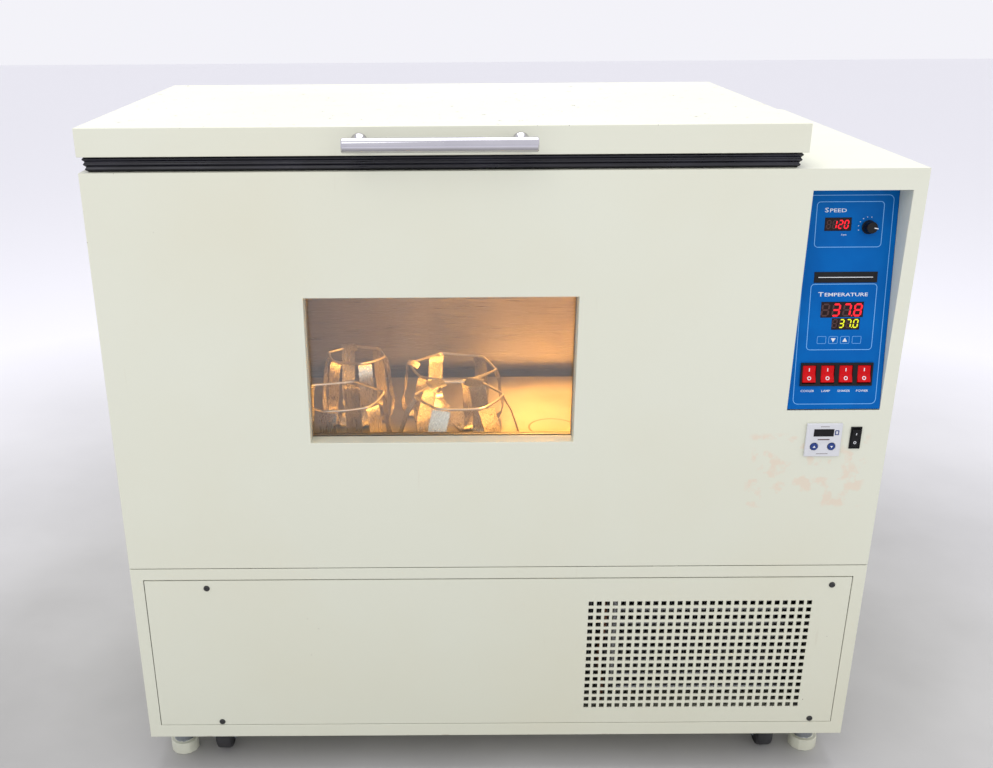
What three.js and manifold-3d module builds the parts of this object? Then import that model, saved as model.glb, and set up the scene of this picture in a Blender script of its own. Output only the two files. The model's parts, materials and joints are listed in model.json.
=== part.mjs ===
// Floor-standing incubated orbital shaker with a top lid, a viewing window and a tilted control panel.
// Millimetres, +Z up, the front faces -Y. The origin is the bottom centre of the bounding box.
import * as THREE from "three";
import { mergeVertices } from "three/addons/utils/BufferGeometryUtils.js";
import Module from "manifold-3d";

const wasm = await Module();
wasm.setup();

// ---------------------------------------------------------------- driving dimensions
const SHEET = 2; // folded sheet metal
const GAP = 0.3; // between pieces that rest on each other
const SLACK = 0.4; // round a shaft in its bearing

const CABINET = { halfWidth: 533.5, depth: 660, bottom: 62, seam: 357, top: 920 };
const HANDLE = { reach: 30, radius: 9, length: 240, centreX: -80.5, z: 956, postSpacing: 200 };
const INLET = { x: 460, z: 255, width: 60, height: 40, proud: 12 };

const FLOOR = 4; // thickness of the base's floor plate
const ON_FLOOR = CABINET.bottom + FLOOR + GAP;
const OVERALL_DEPTH = HANDLE.reach + HANDLE.radius + CABINET.depth + INLET.proud;
const FRONT = -OVERALL_DEPTH / 2 + HANDLE.reach + HANDLE.radius;
const BACK = FRONT + CABINET.depth;
const LEFT = -CABINET.halfWidth;
const RIGHT = CABINET.halfWidth;

const CHAMBER = {
  x0: -490, x1: 335,
  y0: FRONT + 42, y1: FRONT + 598,
  z0: 386, z1: 917.5,
  mouthBack: FRONT + 540, // rear edge of the opening under the lid
};
const WINDOW = { x0: -261, x1: 100.5, z0: 552.6, z1: 757.5, reveal: 26, rebate: 4 };
const CONTROL = { x0: 389.6, x1: 515.6, z0: 596.5, z1: 892.6, setBack: 43, plate: 3 };
const CONTROL_TILT = Math.atan(CONTROL.setBack / (CONTROL.z1 - CONTROL.z0));
const CONTROL_HEIGHT = (CONTROL.z1 - CONTROL.z0) / Math.cos(CONTROL_TILT);

const SERVICE = { x0: -515.6, x1: 515.3, z0: 83.5, z1: 338.5, seamGap: 1.2 };
const VENT = { x0: 133, x1: 461, z0: 112, rows: 16, pitch: 11.8, slot: 7.6, web: 12 };

const LID = { x0: LEFT, x1: 378.7, y0: FRONT, y1: FRONT + 580, z0: 939.4, z1: 974.8 };
const GASKET = { inset: 5, width: 30, taper: 3 };
const HINGE = { y: FRONT + 592, z: 932, knuckle: 6, pin: 3, knuckles: 7, length: 810 };

const TIMER = { x: 443.4, z: 554.2, side: 48.6, proud: 4, keyRadius: 5, keyX: 11.9, keyZ: -9.4 };
const AUX_SWITCH = { x: 487.9, z: 556.4, width: 14.6, height: 31.3 };
const SWITCHES = {
  x: [415.3, 440, 464.6, 489.3],
  centreX: 452.3, s: 50.1,
  width: 97, height: 31.5,
  wellWidth: 18.4, wellHeight: 25.2,
};
const ROCKER = { width: 17.6, height: 22.8, pivotDepth: 2, rise: 5.2, dip: 3.4, root: 4, tilt: 9 };
const SPEED_DISPLAY = { x0: 421.3, x1: 455.8, s0: 240.6, s1: 257.2 };
const TEMPERATURE = { x0: 423.4, x1: 483.6, s0: 110.6, s1: 147.4 };
const KNOB = { x: 478.4, s: 244.9, radius: 10.5, height: 14, shaft: 3 };

const ORBIT = 12.7; // eccentricity of every crank, half of the 25.4 mm orbit
const DRIVE = { x: -77.5, y: FRONT + 400, deck: 322, deckThickness: 12, housingTop: 400 };
const IDLERS = { spread: 240, y: FRONT + 220 };
const PLATFORM = { x: -77.5, y: FRONT + 310, width: 740, depth: 490, top: 455, rim: 15, sheet: 3 };
const CARRIER = { bottom: 422, top: 451.7, plate: 8, overhang: 90 };
const PULLEY = { z0: 276, z1: 292, radius: 110, motorRadius: 27.5 };
const MOTOR = { x: -370, radius: 58, top: 250, shaft: 7 };
const BELT = { thickness: 5, clearance: 0.6, z0: 278, z1: 290 };

const RAIL = { x: [-415, 260], width: 30, height: 20 }; // under the drive deck
const FLOOR_HOLE = { x0: -280, x1: 90, margin: 130 };
const FOOT_PLATE = { inner: [-266, 294], depth: 110, inset: 8, drop: 4 };
const REAR_VENT = { x0: 400, x1: 500, z: 700, rows: 6, pitch: 22, slot: 8 };

const CONDENSER = { x0: 125, x1: 470, inset: 42, depth: 42, z0: 102, z1: 298 };
const CONDENSER_FAN = { x: 297, inset: 112, z: 206, hub: 20, radius: 88, depth: 20, blades: 5 };
const COMPRESSOR = { x: 330, inset: 480, baseHeight: 12.7 };
const CIRCULATION_FAN = { wallGap: 22, inset: 430, z: 780, hub: 16, radius: 62, depth: 18, blades: 6 };
const LAMP = { inset: 190, z: 820, holder: 24, radius: 14, reach: 90 };
const BAFFLE = { gap: 26, z0: 489, sheet: 1.5, lip: 14, topGap: 6 };

const FOOT = { x: 497, inset: 58, radius: 22, height: 20, collar: 15, thread: 6 };
const CASTER = { x: 430, inset: 58, trail: 16, radius: 25, halfWidth: 13, axleZ: 28, axle: 3.5 };

// x, y from the front face, ring radius, ring height, foot radius, turn of the legs in degrees
const CLAMPS = [
  { name: "flask_clamp_centre_front", x: -66.7, inset: 174, ring: 70, height: 106, foot: 96, turn: 0 },
  { name: "flask_clamp_centre_back", x: -74.7, inset: 352, ring: 76, height: 90, foot: 88, turn: 45 },
  { name: "flask_clamp_left_front", x: -246.7, inset: 169, ring: 70, height: 106, foot: 80, turn: 14 },
  { name: "flask_clamp_left_back", x: -233.7, inset: 350, ring: 51, height: 112, foot: 62, turn: 44 },
];

// ---------------------------------------------------------------- materials
const material = (colour, roughness, metalness) =>
  new THREE.MeshStandardMaterial({ color: new THREE.Color(...colour), roughness, metalness });
const MATERIALS = {
  creamPaint: material([0.86, 0.85, 0.76], 0.45, 0),
  stainless: material([0.62, 0.62, 0.6], 0.3, 1),
  steel: material([0.5, 0.5, 0.5], 0.4, 1),
  chrome: material([0.8, 0.8, 0.82], 0.12, 1),
  aluminium: material([0.75, 0.75, 0.76], 0.4, 1),
  castIron: material([0.18, 0.18, 0.19], 0.6, 0.6),
  blackRubber: material([0.03, 0.03, 0.035], 0.7, 0),
  blackPlastic: material([0.03, 0.03, 0.03], 0.4, 0),
  whitePlastic: material([0.85, 0.85, 0.87], 0.45, 0),
  blueOverlay: material([0.01, 0.2, 0.6], 0.4, 0),
  bluePlastic: material([0.1, 0.13, 0.4], 0.4, 0),
  redLens: material([0.85, 0.02, 0.04], 0.25, 0),
  displayLens: material([0.05, 0.01, 0.01], 0.2, 0),
  glass: material([0.85, 0.9, 0.88], 0.05, 0),
};

// ---------------------------------------------------------------- solids
function toSolid(geometry) {
  const bare = geometry.index ? geometry.toNonIndexed() : geometry.clone();
  bare.deleteAttribute("normal");
  bare.deleteAttribute("uv");
  const merged = mergeVertices(bare, 1e-4);
  return new wasm.Manifold(
    new wasm.Mesh({
      numProp: 3,
      vertProperties: new Float32Array(merged.attributes.position.array),
      triVerts: new Uint32Array(merged.index.array),
    }),
  );
}

function toGeometry(solid) {
  const { vertProperties, triVerts } = solid.getMesh();
  const geometry = new THREE.BufferGeometry();
  geometry.setAttribute("position", new THREE.BufferAttribute(new Float32Array(vertProperties), 3));
  geometry.setIndex(new THREE.BufferAttribute(new Uint32Array(triVerts), 1));
  geometry.computeVertexNormals();
  return geometry;
}

const join = (...solids) => solids.reduce((a, b) => a.add(b));
const cut = (body, ...tools) => tools.reduce((a, b) => a.subtract(b), body);

// A box between two corners.
function box(x0, x1, y0, y1, z0, z1) {
  const geometry = new THREE.BoxGeometry(x1 - x0, y1 - y0, z1 - z0);
  return toSolid(geometry.translate((x0 + x1) / 2, (y0 + y1) / 2, (z0 + z1) / 2));
}

// A cylinder along Z from z0 to z1, standing on the point (x, y).
function cylinderZ(x, y, radius, z0, z1, sides = 20) {
  const geometry = new THREE.CylinderGeometry(radius, radius, z1 - z0, sides).rotateX(Math.PI / 2);
  return toSolid(geometry.translate(x, y, (z0 + z1) / 2));
}

function cylinderX(y, z, radius, x0, x1, sides = 24) {
  const geometry = new THREE.CylinderGeometry(radius, radius, x1 - x0, sides).rotateZ(Math.PI / 2);
  return toSolid(geometry.translate((x0 + x1) / 2, y, z));
}

function cylinderY(x, z, radius, y0, y1, sides = 24) {
  const geometry = new THREE.CylinderGeometry(radius, radius, y1 - y0, sides);
  return toSolid(geometry.translate(x, (y0 + y1) / 2, z));
}

// A prism along X whose section is the outline of [y, z] points.
function prismX(outline, x0, x1) {
  const shape = new THREE.Shape(outline.map(([y, z]) => new THREE.Vector2(y, z)));
  const geometry = new THREE.ExtrudeGeometry(shape, { depth: x1 - x0, bevelEnabled: false });
  const turn = new THREE.Matrix4().makeBasis(
    new THREE.Vector3(0, 1, 0),
    new THREE.Vector3(0, 0, 1),
    new THREE.Vector3(1, 0, 0),
  );
  return toSolid(geometry.applyMatrix4(turn).translate(x0, 0, 0));
}

function prismZ(shape, z0, z1, curveSegments = 12) {
  const geometry = new THREE.ExtrudeGeometry(shape, { depth: z1 - z0, bevelEnabled: false, curveSegments });
  return toSolid(geometry.translate(0, 0, z0));
}

const object = new THREE.Group();

// Every piece is one named mesh; a parent other than the object itself is a turned group.
function addPiece(name, solid, finish, parent = object) {
  const mesh = new THREE.Mesh(toGeometry(solid), MATERIALS[finish]);
  mesh.name = name;
  parent.add(mesh);
  return mesh;
}

// ---------------------------------------------------------------- cabinet
function cabinetShell() {
  const outer = box(LEFT, RIGHT, FRONT, BACK, CABINET.seam + 0.5, CABINET.top);
  const inner = box(
    LEFT + SHEET, RIGHT - SHEET,
    FRONT + SHEET, BACK - SHEET,
    CABINET.seam - 1, CABINET.top - SHEET,
  );
  const windowHole = box(WINDOW.x0, WINDOW.x1, FRONT - 1, FRONT + WINDOW.reveal + 1, WINDOW.z0, WINDOW.z1);
  const reveal = box(
    WINDOW.x0 - SHEET, WINDOW.x1 + SHEET,
    FRONT, FRONT + WINDOW.reveal,
    WINDOW.z0 - SHEET, WINDOW.z1 + SHEET,
  );
  const mouth = box(
    CHAMBER.x0, CHAMBER.x1,
    CHAMBER.y0, CHAMBER.mouthBack,
    CABINET.top - SHEET - 1, CABINET.top + 1,
  );
  // The control recess is a wedge, flush at the bottom and set back at the top.
  // Its walls run past the plate.
  const deep = CONTROL.plate + 5;
  const lean = Math.tan(CONTROL_TILT);
  const wedge = (low, high, x0, x1, extra) =>
    prismX(
      [
        [FRONT - 1, low],
        [FRONT + extra + (low - CONTROL.z0) * lean, low],
        [FRONT + extra + (high - CONTROL.z0) * lean, high],
        [FRONT - 1, high],
      ],
      x0,
      x1,
    );
  const recessBlock = cut(
    wedge(CONTROL.z0 - SHEET, CONTROL.z1 + SHEET, CONTROL.x0 - SHEET, CONTROL.x1 + SHEET, deep),
    box(LEFT, RIGHT, FRONT - 2, FRONT, CABINET.seam, CABINET.top),
  );
  const recessHole = wedge(CONTROL.z0, CONTROL.z1, CONTROL.x0, CONTROL.x1, deep + 1);
  const timerHole = box(
    TIMER.x - 22.5, TIMER.x + 22.5,
    FRONT - 1, FRONT + SHEET + 1,
    TIMER.z - 22.5, TIMER.z + 22.5,
  );
  const auxHole = box(
    AUX_SWITCH.x - AUX_SWITCH.width / 2 + 1, AUX_SWITCH.x + AUX_SWITCH.width / 2 - 1,
    FRONT - 1, FRONT + SHEET + 1,
    AUX_SWITCH.z - AUX_SWITCH.height / 2 + 1, AUX_SWITCH.z + AUX_SWITCH.height / 2 - 1,
  );
  const walls = join(cut(outer, inner), reveal, recessBlock);
  const shell = cut(walls, windowHole, mouth, recessHole, timerHole, auxHole);
  const vents = [];
  for (let row = 0; row < REAR_VENT.rows; row++) {
    const z = REAR_VENT.z + row * REAR_VENT.pitch;
    vents.push(box(REAR_VENT.x0, REAR_VENT.x1, BACK - SHEET - 1, BACK + 1, z, z + REAR_VENT.slot));
  }
  return cut(shell, ...vents);
}

// Lower body: four skirt walls, a floor plate with a central opening, and the two foot plates of each end.
function baseFrame() {
  const { bottom, seam } = CABINET;
  const skirt = cut(
    box(LEFT, RIGHT, FRONT, BACK, bottom, seam - 0.5),
    box(LEFT + SHEET, RIGHT - SHEET, FRONT + SHEET, BACK - SHEET, bottom + FLOOR, seam + 1),
  );
  const access = box(SERVICE.x0, SERVICE.x1, FRONT - 1, FRONT + SHEET + 1, SERVICE.z0, SERVICE.z1);
  const floorHole = box(
    FLOOR_HOLE.x0, FLOOR_HOLE.x1,
    FRONT + FLOOR_HOLE.margin, BACK - FLOOR_HOLE.margin,
    bottom - 1, bottom + FLOOR + 1,
  );
  const inletHole = box(
    INLET.x - INLET.width / 2 + 6, INLET.x + INLET.width / 2 - 6,
    BACK - SHEET - 1, BACK + 1,
    INLET.z - INLET.height / 2 + 6, INLET.z + INLET.height / 2 - 6,
  );
  // Rails that carry the drive deck.
  const rails = RAIL.x.map((x) =>
    box(
      x - RAIL.width / 2, x + RAIL.width / 2,
      FRONT + SHEET - 0.5, BACK - SHEET + 0.5,
      DRIVE.deck - RAIL.height, DRIVE.deck - GAP,
    ),
  );
  const plates = [];
  for (const side of [-1, 1]) {
    const [near, far] = side < 0 ? [LEFT, FOOT_PLATE.inner[0]] : [FOOT_PLATE.inner[1], RIGHT];
    for (const y of [FRONT + FOOT_PLATE.inset, BACK - FOOT_PLATE.inset - FOOT_PLATE.depth]) {
      plates.push(box(near, far, y, y + FOOT_PLATE.depth, bottom - FOOT_PLATE.drop, bottom + 0.5));
    }
  }
  const footHoles = [];
  for (const { x, y } of corners(FOOT)) {
    footHoles.push(cylinderZ(x, y, FOOT.thread + 1, bottom - 5, bottom + FLOOR + 1, 12));
  }
  return cut(join(skirt, ...rails, ...plates), access, floorHole, inletHole, ...footHoles);
}

// The four places of a foot or caster, the same distance from each side.
function corners({ x, inset }) {
  return [
    { label: "front_left", x: -x, y: FRONT + inset },
    { label: "front_right", x, y: FRONT + inset },
    { label: "rear_left", x: -x, y: BACK - inset },
    { label: "rear_right", x, y: BACK - inset },
  ];
}

// Lift-off service panel of the lower body, slotted in front of the condenser.
function accessPanel() {
  const edge = SERVICE.seamGap;
  const panel = cut(
    box(SERVICE.x0 + edge, SERVICE.x1 - edge, FRONT, FRONT + 14, SERVICE.z0 + edge, SERVICE.z1 - edge),
    box(
      SERVICE.x0 + edge + 1.5, SERVICE.x1 - edge - 1.5,
      FRONT + 1.5, FRONT + 15,
      SERVICE.z0 + edge + 1.5, SERVICE.z1 - edge - 1.5,
    ),
  );
  const middle = (VENT.x0 + VENT.x1) / 2;
  const slots = [];
  for (let row = 0; row < VENT.rows; row++) {
    const z = VENT.z0 + row * VENT.pitch;
    slots.push(box(VENT.x0, middle - VENT.web / 2, FRONT - 1, FRONT + 3, z, z + VENT.slot));
    slots.push(box(middle + VENT.web / 2, VENT.x1, FRONT - 1, FRONT + 3, z, z + VENT.slot));
  }
  return cut(panel, ...slots);
}

// Stainless tub of the incubation chamber, open at the top, with the window and the drive openings.
function chamberLiner() {
  const { x0, x1, y0, y1, z0, z1 } = CHAMBER;
  const tub = cut(
    box(x0 - SHEET, x1 + SHEET, y0 - SHEET, y1 + SHEET, z0 - SHEET, z1),
    box(x0, x1, y0, y1, z0, z1 + 1),
  );
  const windowHole = box(WINDOW.x0, WINDOW.x1, y0 - SHEET - 1, y0 + 1, WINDOW.z0, WINDOW.z1);
  const holes = [cylinderZ(DRIVE.x, DRIVE.y, 38, z0 - SHEET - 1, z0 + 1)];
  for (const side of [-1, 1]) {
    holes.push(cylinderZ(DRIVE.x + side * IDLERS.spread, IDLERS.y, 32, z0 - SHEET - 1, z0 + 1));
  }
  holes.push(cylinderX(FRONT + CIRCULATION_FAN.inset, CIRCULATION_FAN.z, 9, x1 - 1, x1 + SHEET + 1, 16));
  return cut(tub, windowHole, ...holes);
}

function rearBaffle() {
  const { x0, x1, y1, z1 } = CHAMBER;
  const face = y1 - BAFFLE.gap;
  const bottom = BAFFLE.z0;
  const sheet = box(x0 + 4, x1 - 4, face, face + BAFFLE.sheet, bottom, z1 - BAFFLE.topGap);
  const lip = box(x0 + 4, x1 - 4, face, face + BAFFLE.lip, bottom, bottom + BAFFLE.sheet);
  const grille = [];
  for (let slot = 0; slot < 8; slot++) {
    grille.push(box(-240 + slot * 42, -212 + slot * 42, face - 1, face + 3, 860, 880));
  }
  return cut(join(sheet, lip), ...grille);
}

function windowUnit() {
  const { x0, x1, z0, z1, reveal, rebate } = WINDOW;
  return box(
    x0 - rebate, x1 + rebate,
    FRONT + reveal + GAP, CHAMBER.y0 - SHEET - GAP,
    z0 - rebate, z1 + rebate,
  );
}

// ---------------------------------------------------------------- lid
function lidShell() {
  const { x0, x1, y0, y1, z0, z1 } = LID;
  return cut(
    box(x0, x1, y0, y1, z0, z1),
    box(x0 + SHEET, x1 - SHEET, y0 + SHEET, y1 - SHEET, z0 - 1, z1 - SHEET),
  );
}

// Inner pan that closes the lid from below.
function lidLiner() {
  const { x0, x1, y0, y1, z0 } = LID;
  const inset = SHEET + GAP;
  const sheet = 1.5;
  return cut(
    box(x0 + inset, x1 - inset, y0 + inset, y1 - inset, z0 + GAP, z0 + 20),
    box(
      x0 + inset + sheet, x1 - inset - sheet,
      y0 + inset + sheet, y1 - inset - sheet,
      z0 + GAP + sheet, z0 + 21,
    ),
  );
}

// Hollow square of rubber, wider where it meets the lid.
function lidGasket() {
  const { x0, x1, y0, y1, z0 } = LID;
  const low = CABINET.top + GAP;
  const high = z0 - GAP;
  const ring = (inset, width, bottom, top) =>
    cut(
      box(x0 + inset, x1 - inset, y0 + inset, y1 - inset, bottom, top),
      box(
        x0 + inset + width, x1 - inset - width,
        y0 + inset + width, y1 - inset - width,
        bottom - 1, top + 1,
      ),
    );
  const { inset, width, taper } = GASKET;
  return join(
    ring(inset, width, high - 8, high),
    ring(inset + taper, width - 2 * taper, low, high - 7.9),
  );
}

function lidHandle() {
  const { radius, length, centreX, z, postSpacing, reach } = HANDLE;
  const bar = cylinderX(FRONT - reach, z, radius, centreX - length / 2, centreX + length / 2, 20);
  const parts = [bar];
  for (const side of [-1, 1]) {
    const x = centreX + (side * postSpacing) / 2;
    parts.push(cylinderY(x, z, 5, FRONT - reach, FRONT - 2, 16));
    parts.push(cylinderY(x, z, 9, FRONT - 4, FRONT - GAP, 20));
  }
  return join(...parts);
}

// Continuous hinge: odd knuckles belong to the cabinet strip, even ones to the lid.
function hingeKnuckles(parity) {
  const { y, z, knuckle, knuckles, length, pin } = HINGE;
  const pitch = length / knuckles;
  const start = (LID.x0 + LID.x1 - length) / 2;
  const made = [];
  for (let k = 0; k < knuckles; k++) {
    if (k % 2 === parity) {
      const x0 = start + k * pitch + 0.5;
      made.push({ x0, x1: x0 + pitch - 1 });
    }
  }
  return { made, bore: cylinderX(y, z, pin + SLACK, start - 5, start + length + 5, 12), knuckle, y, z };
}

function hingeBase() {
  const { made, bore, knuckle, y, z } = hingeKnuckles(0);
  const deck = CABINET.top + GAP;
  const parts = made.map(({ x0, x1 }) =>
    join(
      cylinderX(y, z, knuckle, x0, x1, 12),
      box(x0, x1, y, y + 2, deck, z),
    ),
  );
  const leaf = box(made[0].x0, made[made.length - 1].x1, y - 0.5, y + 38, deck, deck + 2);
  return cut(join(leaf, ...parts), bore);
}

function hingeLeaf() {
  const { made, bore, knuckle, y, z } = hingeKnuckles(1);
  const face = LID.y1 + GAP;
  const parts = made.map(({ x0, x1 }) =>
    join(
      cylinderX(y, z, knuckle, x0, x1, 12),
      box(x0, x1, face, y, z + 3, z + 5.5),
      box(x0, x1, face, face + 2, z + 3, z + 18),
    ),
  );
  const leaf = box(made[0].x0, made[made.length - 1].x1, face, face + 2, z + 12, z + 38);
  return cut(join(leaf, ...parts), bore);
}

function hingePin() {
  const start = (LID.x0 + LID.x1 - HINGE.length) / 2;
  return cylinderX(HINGE.y, HINGE.z, HINGE.pin, start - 3, start + HINGE.length + 3, 10);
}

// ---------------------------------------------------------------- control panel, in its own tilted frame
// Local x is the cabinet's X, local z runs up the slope, and local y runs into the panel.
const panelFrame = new THREE.Group();
panelFrame.position.set(0, FRONT, CONTROL.z0);
panelFrame.rotation.x = -CONTROL_TILT;
object.add(panelFrame);

function controlPlate() {
  const edge = GAP;
  const plate = box(
    CONTROL.x0 + edge, CONTROL.x1 - edge,
    0, CONTROL.plate,
    2, CONTROL_HEIGHT - 4,
  );
  const hole = ({ x0, x1, s0, s1 }) => box(x0 - GAP, x1 + GAP, -1, CONTROL.plate + 1, s0 - GAP, s1 + GAP);
  const switchHole = box(
    SWITCHES.centreX - SWITCHES.width / 2 + 2, SWITCHES.centreX + SWITCHES.width / 2 - 2,
    -1, CONTROL.plate + 1,
    SWITCHES.s - SWITCHES.height / 2 + 1.5, SWITCHES.s + SWITCHES.height / 2 - 1.5,
  );
  const shaftHole = cylinderY(KNOB.x, KNOB.s, KNOB.shaft + 1, -1, CONTROL.plate + 1, 16);
  return cut(plate, hole(SPEED_DISPLAY), hole(TEMPERATURE), switchHole, shaftHole);
}

function speedDisplay() {
  const { x0, x1, s0, s1 } = SPEED_DISPLAY;
  return join(
    box(x0, x1, 0.6, 8, s0, s1),
    box(x0 - 6, x1 + 6, CONTROL.plate + GAP, 26, s0 - 5, s1 + 5),
  );
}

function temperatureController() {
  const { x0, x1, s0, s1 } = TEMPERATURE;
  return join(
    box(x0, x1, 0.6, 8, s0, s1),
    box(x0 - 6, x1 + 6, CONTROL.plate + GAP, 60, s0 - 26, s1 + 22),
  );
}

function switchBezel() {
  const centre = SWITCHES.centreX;
  const flange = box(
    centre - SWITCHES.width / 2, centre + SWITCHES.width / 2,
    -2.5, -GAP,
    SWITCHES.s - SWITCHES.height / 2, SWITCHES.s + SWITCHES.height / 2,
  );
  const body = box(
    centre - SWITCHES.width / 2 + 2.5, centre + SWITCHES.width / 2 - 2.5,
    -1, 20,
    SWITCHES.s - SWITCHES.height / 2 + 2, SWITCHES.s + SWITCHES.height / 2 - 2,
  );
  const wells = SWITCHES.x.map((x) =>
    box(
      x - SWITCHES.wellWidth / 2, x + SWITCHES.wellWidth / 2,
      -3, 9,
      SWITCHES.s - SWITCHES.wellHeight / 2, SWITCHES.s + SWITCHES.wellHeight / 2,
    ),
  );
  return cut(join(flange, body), ...wells);
}

// A rocker about its own pivot: two sloping faces that meet in a valley. Local -y is outward.
function rocker(width, height) {
  const half = height / 2;
  const { rise, dip, root } = ROCKER;
  return prismX(
    [
      [root, -half],
      [root, half],
      [-rise, half],
      [-dip, 0],
      [-rise, -half],
    ],
    -width / 2,
    width / 2,
  );
}

function speedKnob() {
  return join(
    cylinderY(0, 0, KNOB.radius, -KNOB.height - 0.6, -0.6, 32),
    cylinderY(0, 0, KNOB.shaft, -1, 10, 16),
  );
}

// ---------------------------------------------------------------- timer and auxiliary switch
function timerModule() {
  const { x, z, side, proud, keyRadius, keyX, keyZ } = TIMER;
  const bezel = box(x - side / 2, x + side / 2, FRONT - proud, FRONT - GAP, z - side / 2, z + side / 2);
  const body = box(x - 22, x + 22, FRONT - 1, FRONT + 60, z - 22, z + 22);
  const wells = [-1, 1].map((hand) =>
    cylinderY(x + hand * keyX, z + keyZ, keyRadius + 0.5, FRONT - proud - 1, FRONT - 0.5, 20),
  );
  return cut(join(bezel, body), ...wells);
}

function timerKey(side) {
  const { x, z, proud, keyRadius, keyX, keyZ } = TIMER;
  return cylinderY(x + side * keyX, z + keyZ, keyRadius, FRONT - proud - 1, FRONT - 1.6, 20);
}

// ---------------------------------------------------------------- orbital drive
// Turned crank: a shaft in the deck housing, a web, and the eccentric pin that carries the platform.
function crank(x, y, shaft, bottom, web, webThickness, pin) {
  const seat = DRIVE.housingTop + 4;
  return join(
    cylinderZ(x, y, shaft, bottom, seat + 1),
    cylinderZ(x, y, web, seat, seat + webThickness),
    cylinderZ(x + ORBIT, y, pin, seat + webThickness - 1, CARRIER.top - 5),
  );
}

const MAIN_SHAFT = { shaft: 15, web: 32, pin: 12 };
const IDLER_SHAFT = { shaft: 10, web: 28, pin: 10 };

function driveDeck() {
  const { deck, deckThickness, housingTop, x, y } = DRIVE;
  const plate = box(-430, 275, FRONT + 120, FRONT + 540, deck, deck + deckThickness);
  const housings = [cylinderZ(x, y, 34, deck + 1, housingTop)];
  const bores = [cylinderZ(x, y, MAIN_SHAFT.shaft + SLACK, deck - 1, housingTop + 1)];
  for (const side of [-1, 1]) {
    const idlerX = x + side * IDLERS.spread;
    housings.push(cylinderZ(idlerX, IDLERS.y, 28, deck + 1, housingTop));
    bores.push(cylinderZ(idlerX, IDLERS.y, IDLER_SHAFT.shaft + SLACK, deck - 1, housingTop + 1));
  }
  return cut(join(plate, ...housings), ...bores);
}

function drivePulley() {
  const { z0, z1, radius } = PULLEY;
  const disc = cylinderZ(DRIVE.x, DRIVE.y, radius, z0, z1, 48);
  return cut(disc, cylinderZ(DRIVE.x, DRIVE.y, MAIN_SHAFT.shaft + GAP, z0 - 1, z1 + 1));
}

// Half disc opposite the eccentric pin.
function counterweight() {
  const z0 = PULLEY.z1 + 6;
  const z1 = z0 + 18;
  const half = new THREE.Shape();
  half.absarc(DRIVE.x, DRIVE.y, 104, Math.PI / 2, -Math.PI / 2 + 2 * Math.PI, false);
  return cut(
    join(prismZ(half, z0, z1, 16), cylinderZ(DRIVE.x, DRIVE.y, 30, z0, z1)),
    cylinderZ(DRIVE.x, DRIVE.y, MAIN_SHAFT.shaft + GAP, z0 - 1, z1 + 1),
  );
}

function motorPulley() {
  const { z0, z1, motorRadius } = PULLEY;
  return join(
    cylinderZ(MOTOR.x, DRIVE.y, motorRadius, z0, z1, 32),
    cylinderZ(MOTOR.x, DRIVE.y, MOTOR.shaft, MOTOR.top + 0.6, z1 + 4, 16),
  );
}

function motor() {
  return join(
    box(MOTOR.x - 75, MOTOR.x + 75, DRIVE.y - 75, DRIVE.y + 75, ON_FLOOR, ON_FLOOR + 8),
    cylinderZ(MOTOR.x, DRIVE.y, MOTOR.radius, ON_FLOOR + 7, MOTOR.top),
    box(MOTOR.x - 30, MOTOR.x + 30, DRIVE.y + 50, DRIVE.y + 82, 120, 200),
  );
}

// Outline round two circles on one line, as a belt lies on its pulleys.
function beltOutline(large, small) {
  const span = DRIVE.x - MOTOR.x;
  const lean = Math.acos((large - small) / span);
  const outline = new THREE.Shape();
  outline.absarc(DRIVE.x, DRIVE.y, large, -Math.PI + lean, Math.PI - lean, false);
  outline.absarc(MOTOR.x, DRIVE.y, small, Math.PI - lean, Math.PI + lean, false);
  return outline;
}

function driveBelt() {
  const { thickness, clearance, z0, z1 } = BELT;
  const inner = [PULLEY.radius + clearance, PULLEY.motorRadius + clearance];
  return cut(
    prismZ(beltOutline(inner[0] + thickness, inner[1] + thickness), z0, z1, 16),
    prismZ(beltOutline(inner[0], inner[1]), z0 - 1, z1 + 1, 16),
  );
}

// Plate under the platform with a bearing hub for each eccentric pin.
// It is shown at the orbit's +X point.
function platformCarrier() {
  const { bottom, top, plate, overhang } = CARRIER;
  const centreX = PLATFORM.x + ORBIT;
  const left = centreX - IDLERS.spread;
  const right = centreX + IDLERS.spread;
  const hubs = [
    { x: centreX, y: DRIVE.y, radius: 27, pin: MAIN_SHAFT.pin },
    { x: left, y: IDLERS.y, radius: 25, pin: IDLER_SHAFT.pin },
    { x: right, y: IDLERS.y, radius: 25, pin: IDLER_SHAFT.pin },
  ];
  return cut(
    join(
      box(left - overhang, right + overhang, IDLERS.y - overhang, DRIVE.y + overhang, top - plate, top),
      ...hubs.map(({ x, y, radius }) => cylinderZ(x, y, radius, bottom, top)),
    ),
    ...hubs.map(({ x, y, pin }) => cylinderZ(x, y, pin + SLACK, bottom - 1, top - 3)),
  );
}

function platformTray() {
  const { y, width, depth, top, rim, sheet } = PLATFORM;
  const x = PLATFORM.x + ORBIT;
  const outer = box(x - width / 2, x + width / 2, y - depth / 2, y + depth / 2, top - rim, top);
  const inner = box(
    x - width / 2 + sheet, x + width / 2 - sheet,
    y - depth / 2 + sheet, y + depth / 2 - sheet,
    top - rim - 1, top - sheet,
  );
  return cut(outer, inner);
}

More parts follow.
